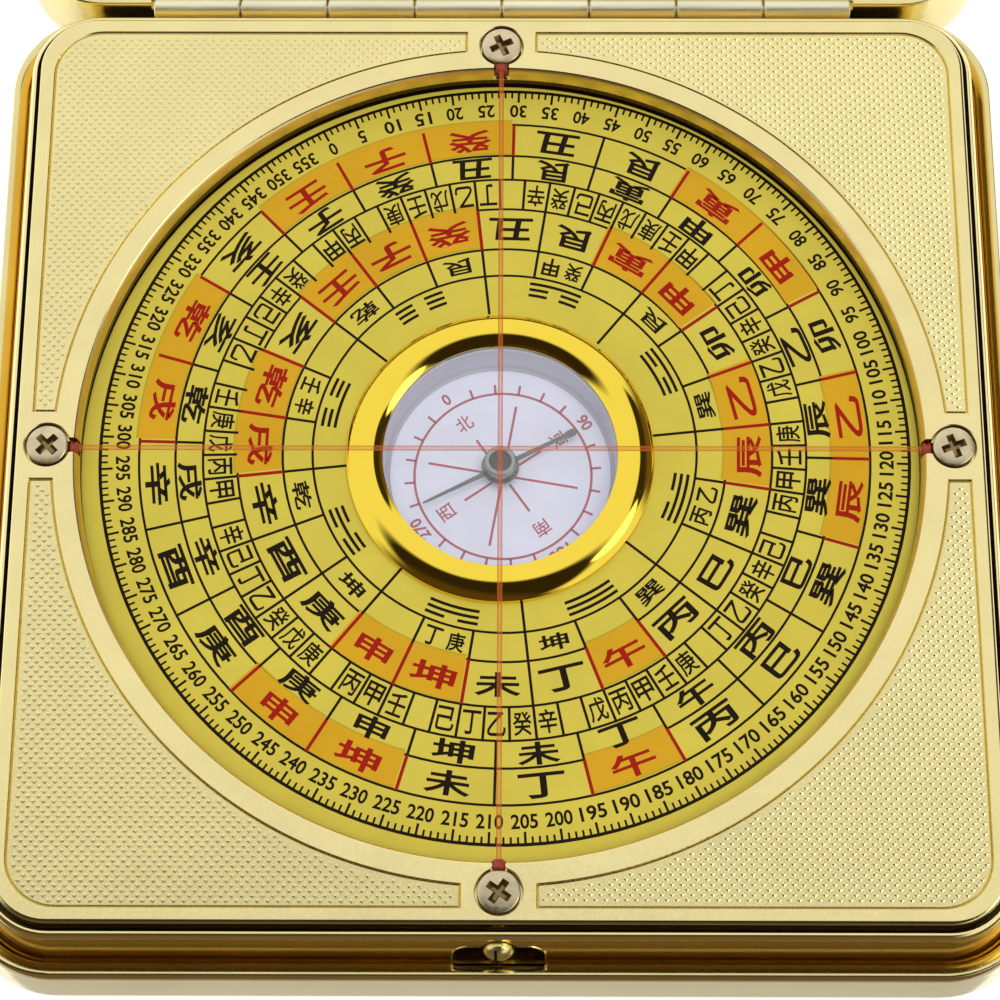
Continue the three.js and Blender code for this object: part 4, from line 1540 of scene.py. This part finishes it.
@dataclass
class Well:
    """The dial disc and the needle's well in it: cup, bezel, window and card."""

    dial_low: float = from_pack("dial_disc", 2, False)
    dial_top: float = from_pack("dial_disc", 2)
    dial_radius: float = from_pack("dial_disc", 0)
    dial_ease: float = 0.12
    bore: float = 10.6
    cup_inner: float = 9.0
    cup_outer: float = 10.3
    cup_floor: float = 0.6
    cup_fillet: float = 0.5
    cup_bevel: float = 0.1
    flange: float = 11.0
    tip: float = 0.01
    ridge: float = 10.35
    ridge_round: float = 2.1
    ring_outer: float = 11.92
    ring_ease: float = 0.08
    ring_bevel: Profile = ((0.0, 0.13), (0.02, 0.05))
    ring_clearance: float = 0.3
    ring_lap: float = 1.2
    window: float = 9.1
    glass_ease: float = 0.08
    card_bore: float = 0.75
    card_bevel: float = 0.05
    card_drift: Spot = (0.2, -0.25)
    zero: float = -35.0
    print_rise: float = 0.006
    line: float = 0.2
    circle: float = 6.95
    mark: float = 0.8
    marks: int = 24
    number_radius: float = 7.85
    number_size: Spot = (0.62, 1.0)
    number_weight: float = 0.03
    wind_radius: float = 5.36
    wind_size: Spot = (1.3, 1.3)
    wind_weight: float = 0.012
    ray_start: float = 0.9
    short_ray: float = 3.65
    long_ray: float = 5.95

    def build(self) -> None:
        """Makes the disc and everything in the well."""
        self.disc()
        self.cup()
        self.bezel_ring()
        self.glass()
        self.card()
        self.card_print()

    def disc(self) -> None:
        """Makes the dial disc, with an eased edge."""
        radius, ease, low, top = self.dial_radius, self.dial_ease, self.dial_low, self.dial_top
        outline = [(radius, low), (radius, top - ease), (radius - ease, top), (self.bore, top)]
        outline.append((self.bore, low))
        disc = lathe(outline, 240).piece("dial_disc_fine")
        report(finished(disc, DIAL_YELLOW), "dial", "dial_print", "dial_disc")

    def cup(self) -> None:
        """Makes the white cup, its floor rounded into its wall."""
        low, top = heights("capsule_cup")
        floor, bend, bevel = low + self.cup_floor, self.cup_fillet, self.cup_bevel
        fillet = arc((self.cup_inner - bend, floor + bend), bend, 0, -90, 6)
        outline = [(self.tip, low), (self.cup_outer, low), (self.cup_outer, self.dial_top),
                   (self.flange, self.dial_top), (self.flange, top), (self.cup_inner + bevel, top),
                   (self.cup_inner, top - bevel), *fillet, (self.tip, floor)]
        cup = lathe(outline, 128, False).piece("capsule_cup_fine")
        report(finished(cup, CUP_WHITE), "dial", "cup_white", "capsule_cup")

    def bezel_ring(self) -> None:
        """Makes the bezel: a round ridge that falls to the dial outside and to the window inside."""
        foot, crest, lip = self.dial_top, edge("bezel_ring", 2), edge("capsule_glass", 2)
        middle, bend = (self.ridge, crest - self.ridge_round), self.ridge_round
        outside = math.degrees(math.acos((self.ring_outer - self.ring_ease - self.ridge) / bend))
        inside = math.degrees(math.acos((self.window - self.ridge) / bend))
        slope = arc(middle, bend, outside, 90, 14)
        inner, lap = self.flange + self.ring_clearance, self.cup_inner + self.ring_lap
        under = foot + self.ring_clearance
        outline = [(inner, foot), (self.ring_outer, foot),
                   *((self.ring_outer - inset, slope[0][1] - fall) for inset, fall in self.ring_bevel),
                   *slope, *arc(middle, bend, 90, inside, 8)[1:],
                   (self.window, lip), (lap, lip), (lap, under), (inner, under)]
        ring = lathe(outline, 192).piece("bezel_ring_fine", 30)
        report(finished(ring, BEZEL_GOLD), "dial", "bezel_gold", "bezel_ring")

    def glass(self) -> None:
        """Makes the window glass."""
        (low, top), radius, ease = heights("capsule_glass"), edge("capsule_glass", 0), self.glass_ease
        outline = [(radius - ease, low), (radius, low + ease), (radius, top - ease), (radius - ease, top)]
        pane = lathe(outline, 96, False).piece("capsule_glass_fine")
        pane.visible_shadow = False
        report(finished(pane, WINDOW_GLASS), "dial", "glass", "capsule_glass")

    def card(self) -> None:
        """Makes the card under the needle."""
        (low, top), radius, bore = heights("compass_card"), edge("compass_card", 0), self.card_bore
        edge_out = [(radius, low), (radius, top - self.card_bevel), (radius - self.card_bevel, top)]
        card = lathe([(bore, low), *edge_out, (bore, top)], 128).piece("compass_card_fine")
        report(finished(card, CARD_WHITE), "dial", "card_white", "compass_card")

    def card_print(self) -> None:
        """Prints the card: a circle with marks, numbers, the four winds and eight rays."""
        shape, height = Print(), edge("compass_card", 2) + self.print_rise
        shape.circle(self.circle, self.line, height)
        for mark in range(self.marks):
            if mark % (self.marks // 4):
                heading = 360 / self.marks * mark
                shape.ray(self.circle, self.circle + self.mark, heading, self.line, height)
        numbers, winds = Typeface(self.number_weight), Typeface(self.wind_weight)
        for quarter, (text, wind) in enumerate(zip(("0", "90", "180", "270"), "北東南西")):
            heading, size = 90 * quarter, (self.number_size[0] * len(text), self.number_size[1])
            numbers.set(shape, text, self.number_radius, heading, size, height, inward=False)
            winds.set(shape, wind, self.wind_radius, heading, self.wind_size, height, inward=False)
            shape.ray(self.ray_start, self.short_ray, heading, self.line, height)
            shape.ray(self.ray_start, self.long_ray, heading + 45, self.line, height)
        piece = moved(shape, *self.card_drift, turn=-self.zero).piece("print_card")
        report(finished(piece, CARD_RED), "dial", "card_white")


@dataclass
class Needle:
    """The needle and its cap, turned to the needle's heading."""

    heading: float = 243.0
    reach: float = 6.75
    thickness: float = 0.18
    bevel: float = 0.05
    bevel_share: Spot = (0.86, 0.99)
    point: Profile = ((0.05, 0.0), (0.1, 0.5))
    waist: Spot = (0.2, 0.4)
    tail: Profile = ((0.15, 1.2), (0.3, 0.75), (0.3, 0.3), (0.1, 0.0))
    hub: Spot = (0.02, 0.22)
    cap_radius: float = 1.25
    cap_ease: float = 0.1
    cap_bore: float = 0.75
    cap_hollow: float = 0.65
    cap_floor: float = 0.36
    dish_radius: float = 0.85
    dish_ease: Spot = (0.04, 0.05)
    dish_foot: Spot = (0.92, 0.32)
    tip: float = 0.02

    def build(self) -> None:
        """Makes the needle and its cap."""
        low = edge("needle", 2, False)
        high, arms = low + self.thickness, self.arms()
        inset = [(x * self.bevel_share[0], y * self.bevel_share[1]) for x, y in arms]
        blade = prism([(inset, low), (arms, low + self.bevel), (arms, high - self.bevel), (inset, high)])
        inner, outer = (self.cap_radius + gap for gap in self.hub)
        blade.join(lathe([(inner, low), (outer, low), (outer, high), (inner, high)], 48))
        piece = moved(blade, turn=-self.heading).piece("needle_fine")
        report(finished(piece, NEEDLE_STEEL), "needle", "needle_steel", "needle")
        self.cap()

    def arms(self) -> Outline:
        """Gives the outline of the pointed arm and the flattened tail.

        Returns:
            The outline, anticlockwise.
        """
        wide, half = self.waist
        right = [*((x, self.reach - fall) for x, fall in self.point), (wide, half), (wide, -half),
                 *((x, -self.reach + rise) for x, rise in self.tail)]
        return right[::-1] + [(-x, y) for x, y in right]

    def cap(self) -> None:
        """Makes the cap: a short tube with an eased rim and a dish in its top, painted near black as shade.
        """
        low, top = heights("needle_cap")
        radius, ease, dish = self.cap_radius, self.cap_ease, self.dish_radius
        outline = [(self.tip, top - self.cap_hollow), (self.cap_bore, low), (radius - self.bevel, low),
                   (radius, low + self.bevel), (radius, top - ease), (radius - ease, top),
                   (dish + self.dish_ease[0], top), (dish, top - self.dish_ease[1]),
                   (dish * self.dish_foot[0], top - self.dish_foot[1]), (self.tip, top - self.cap_floor)]
        # the dish's two bands and its floor take finish 1, a painted shade
        cap = lathe(outline, 64, False, [0] * 7 + [1] * 2)
        cap.finishes[-1] = 1  # the dish's floor, the last end cap
        piece = moved(cap, turn=-self.heading).piece("needle_cap_fine")
        report(finished(piece, CAP_METAL, CAP_PAINTED_SHADE), "needle", "needle_steel", "needle_cap")


@dataclass
class Latch:
    """The latch stud in its window: a round head with a groove across it, on a shank with a rivet."""

    width: float = 1.18
    rise: float = 1.24
    middle: float = 7.78
    nose: float = 0.85
    head_back: Spot = (0.94, 0.3)
    neck: float = 0.34
    shank: float = 0.4
    rivet: float = 0.75
    rivet_depth: float = 0.3
    groove: Spot = (-0.33, -0.11)
    groove_depth: float = 0.5
    groove_past: float = 2.0

    def build(self) -> None:
        """Makes the stud."""
        front, back = edge("latch_stud", 1, False), edge("latch_stud", 1)
        centre = front + self.nose
        end = back - centre
        outline = [(x, self.nose * y) for x, y in arc((0, 0), 1, -88, 0, 11)]
        outline += [self.head_back, (self.shank, self.neck), (self.shank, end - self.rivet_depth),
                    (self.rivet, end - self.rivet_depth), (self.rivet, end)]

        def placed(x: float, y: float, z: float) -> Point:
            """Stands a point of the stud in its place, the head's wider and taller."""
            wide, tall = (self.width, self.rise) if z <= self.head_back[1] else (1.0, 1.0)
            return x * wide, centre + z, self.middle + y * tall

        stud = lathe(outline, 48, False).mapped(placed).flipped().piece("latch_stud_fine")
        past = self.groove_past
        # the groove across the head takes finish 1, a painted shade
        groove = block(self.groove, (-past, past), (-past, self.groove_depth)).flipped().numbered(1)
        tool = groove.mapped(lambda x, y, z: (x, front + z, self.middle + y))
        carved(finished(stud, STUD_GOLD, CAP_PAINTED_SHADE), [tool])
        report(stud, "latch", "polished_gold", "latch_stud")


class KeptNodes:
    """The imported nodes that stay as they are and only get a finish."""

    FINISHES = {
        "hinge_pin": SPRING_STEEL,
        "latch_spring": SPRING_STEEL,
        "dial_bush": POLISHED_GOLD,
        "dial_clip": SPRING_STEEL,
        "needle_pivot": SPRING_STEEL,
    }

    def build(self) -> None:
        """Dresses each kept node."""
        for name, finish in self.FINISHES.items():
            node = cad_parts[name]
            finished(node, finish)
            log.info("%s keeps its packed shape", name)


# The studio


@dataclass
class Camera:
    """The camera at the photograph's viewing angle."""

    focal: float = 105.34
    sensor: float = 36.0
    clip: Spot = (0.01, 10.0)
    elevation: float = 69.361
    distance: float = 223.0
    target: Point = (-0.001, -4.443, 10.8)
    yaw: float = -0.655
    roll: float = -0.501

    def build(self) -> None:
        """Makes the camera and points it."""
        pitch, yaw, roll = (math.radians(angle) for angle in (self.elevation, self.yaw, self.roll))
        ahead = Vector((math.sin(yaw) * math.cos(pitch), math.cos(yaw) * math.cos(pitch), -math.sin(pitch)))
        right = Vector((math.cos(yaw), -math.sin(yaw), 0))
        up = right.cross(ahead)
        side = math.cos(roll) * right + math.sin(roll) * up
        top = -math.sin(roll) * right + math.cos(roll) * up
        data = bpy.data.cameras.new("camera")
        data.lens, data.sensor_width = self.focal, self.sensor
        data.clip_start, data.clip_end = self.clip
        camera = bpy.data.objects.new("camera", data)
        place = (Vector(self.target) - self.distance * ahead) * MM
        turn = Matrix((side, top, -ahead)).transposed()
        camera.matrix_world = Matrix.Translation(place) @ turn.to_4x4()
        bpy.context.scene.collection.objects.link(camera)
        bpy.context.scene.camera = camera


@dataclass(frozen=True)
class Glow:
    """A round patch of the studio that shiny surfaces show, such as a soft box or a dark screen."""

    heading: float
    elevation: float
    inner: float
    outer: float
    color: Color

    def share(self, nodes: Nodes, way: Socket) -> Socket:
        """Gives how much of the patch shows.

        Args:
            nodes: The world's node tree.
            way: The way that is looked in.

        Returns:
            1 inside the patch's inner radius, 0 outside its outer one.
        """
        turn, rise = math.radians(self.heading), math.radians(self.elevation)
        middle = (math.sin(turn) * math.cos(rise), math.cos(turn) * math.cos(rise), math.sin(rise))
        near = nodes.node("VectorMath", {0: way, 1: middle}, operation="DOT_PRODUCT").outputs["Value"]
        span = (math.cos(math.radians(self.outer)), math.cos(math.radians(self.inner)))
        return nodes.ramp(near, span, way=Ramp.SOFT)


@dataclass
class Studio:
    """The pale floor, the surroundings and the lamp."""

    ambient: float = 0.55
    surround: Color = (1.0, 0.99, 0.97)
    patches: tuple[Glow, ...] = (
        Glow(188, 56, 36, 47, (0.03, 0.02, 0.012)),
        Glow(203, 6, 30, 54, (0.09, 0.055, 0.03)),
        Glow(64, 37, 19, 23, (0.04, 0.03, 0.02)),
        Glow(66, 8, 14, 30, (0.16, 0.10, 0.05)),
        Glow(101, 46, 11, 15, (3.2, 3.2, 3.0)),
    )
    lamp_power: float = 1.65
    lamp_size: float = 0.4
    lamp_place: Point = (50.0, -80.0, 590.0)
    floor_reach: float = 3000.0
    floor_level: float = -0.02
    floor_color: Color = (0.9, 0.9, 0.9)
    floor_roughness: float = 0.6
    floor_glow: float = 0.45
    # the painted shade that shiny surfaces see on the floor in front of the case: floor_near close to it,
    # floor_far beyond
    floor_edge: Spot = (-40.0, -40.4)
    floor_fade: Spot = (-42.2, -43.5)
    floor_near: Color = (0.64, 0.62, 0.60)
    floor_far: Color = (0.15, 0.105, 0.055)

    def build(self) -> None:
        """Makes the surroundings, the floor and the lamp."""
        self.world()
        self.floor()
        self.lamp()
        bpy.context.scene.view_settings.view_transform = "Standard"

    def world(self) -> None:
        """Makes the surroundings: white to the camera, soft boxes and dark screens to shiny surfaces."""
        world = bpy.data.worlds.new("studio")
        bpy.context.scene.world = world
        world.use_nodes = True
        nodes = Nodes(world.node_tree)
        way = nodes.node("TexCoord").outputs["Generated"]
        shown: Any = (*self.surround, 1)
        for patch in self.patches:
            shown = nodes.mix(Blend.COLOR, patch.share(nodes, way), shown, (*patch.color, 1))
        path = nodes.node("LightPath").outputs
        strength: Any = self.ambient
        for ray in ("Is Camera Ray", "Is Transmission Ray", "Is Glossy Ray"):
            strength = nodes.mix(Blend.NUMBER, path[ray], strength, 1.0)
        color = nodes.mix(Blend.COLOR, path["Is Glossy Ray"], (1, 1, 1, 1), shown)
        nodes.feed(nodes.tree.nodes["Background"], {"Strength": strength, "Color": color})

    def floor(self) -> None:
        """Makes the pale floor, which keeps the object's shadow."""
        reach, shape = self.floor_reach, Shape()
        corners = ((-reach, -reach), (reach, -reach), (reach, reach), (-reach, reach))
        shape.add([(x, y, self.floor_level) for x, y in corners], [(0, 1, 2, 3)])
        floor = shape.piece("floor")
        dress = Dress("floor")
        path = dress.node("LightPath").outputs
        seen = dress.pair(Pair.HIGHER, path["Is Camera Ray"], path["Is Glossy Ray"])
        dress.feed(dress.shader, {
            "Base Color": (*self.floor_color, 1),
            "Roughness": self.floor_roughness,
            "Emission Color": (1, 1, 1, 1),
            "Emission Strength": dress.pair(Pair.PRODUCT, seen, self.floor_glow),
        })
        self.dim_front(dress, path["Is Glossy Ray"])
        floor.data.materials.append(dress.material)

    def dim_front(self, dress: Dress, shiny: Socket) -> None:
        """Paints the floor in front of the case dim for shiny surfaces only, as under a dark screen: a
        painted shade in their reflections that the camera does not see.

        Args:
            dress: The floor's material.
            shiny: 1 for what a shiny surface shows, 0 otherwise.
        """
        place = dress.node("TexCoord").outputs["Object"]
        along = dress.node("SeparateXYZ", {"Vector": place}).outputs["Y"]
        edge_share, far_share = (dress.ramp(along, (start * MM, end * MM), way=Ramp.SOFT)
                                 for start, end in (self.floor_edge, self.floor_fade))
        tone = dress.mix(Blend.COLOR, far_share, (*self.floor_near, 1), (*self.floor_far, 1))
        dim = dress.node("Emission", {"Color": tone}).outputs["Emission"]
        share = dress.pair(Pair.PRODUCT, edge_share, shiny)
        mixed = dress.node("MixShader", {0: share, 1: dress.shader.outputs["BSDF"], 2: dim})
        dress.feed(dress.tree.nodes["Material Output"], {"Surface": mixed.outputs["Shader"]})

    def lamp(self) -> None:
        """Makes the broad lamp above the object."""
        data = bpy.data.lights.new("lamp", "AREA")
        data.shape, data.size, data.energy = "DISK", self.lamp_size, self.lamp_power
        lamp = bpy.data.objects.new("lamp", data)
        place = Vector(self.lamp_place) * MM
        lamp.matrix_world = Matrix.Translation(place) @ place.to_track_quat("Z", "Y").to_matrix().to_4x4()
        lamp.visible_glossy = False
        bpy.context.scene.collection.objects.link(lamp)


def main() -> None:
    """Builds the camera, the studio and every piece."""
    logging.basicConfig(level=logging.INFO)
    for assembly in (Camera, Studio, Case, Platform, Well, Scale, Needle, Latch, KeptNodes):
        assembly().build()


if __name__ == "__main__":
    main()
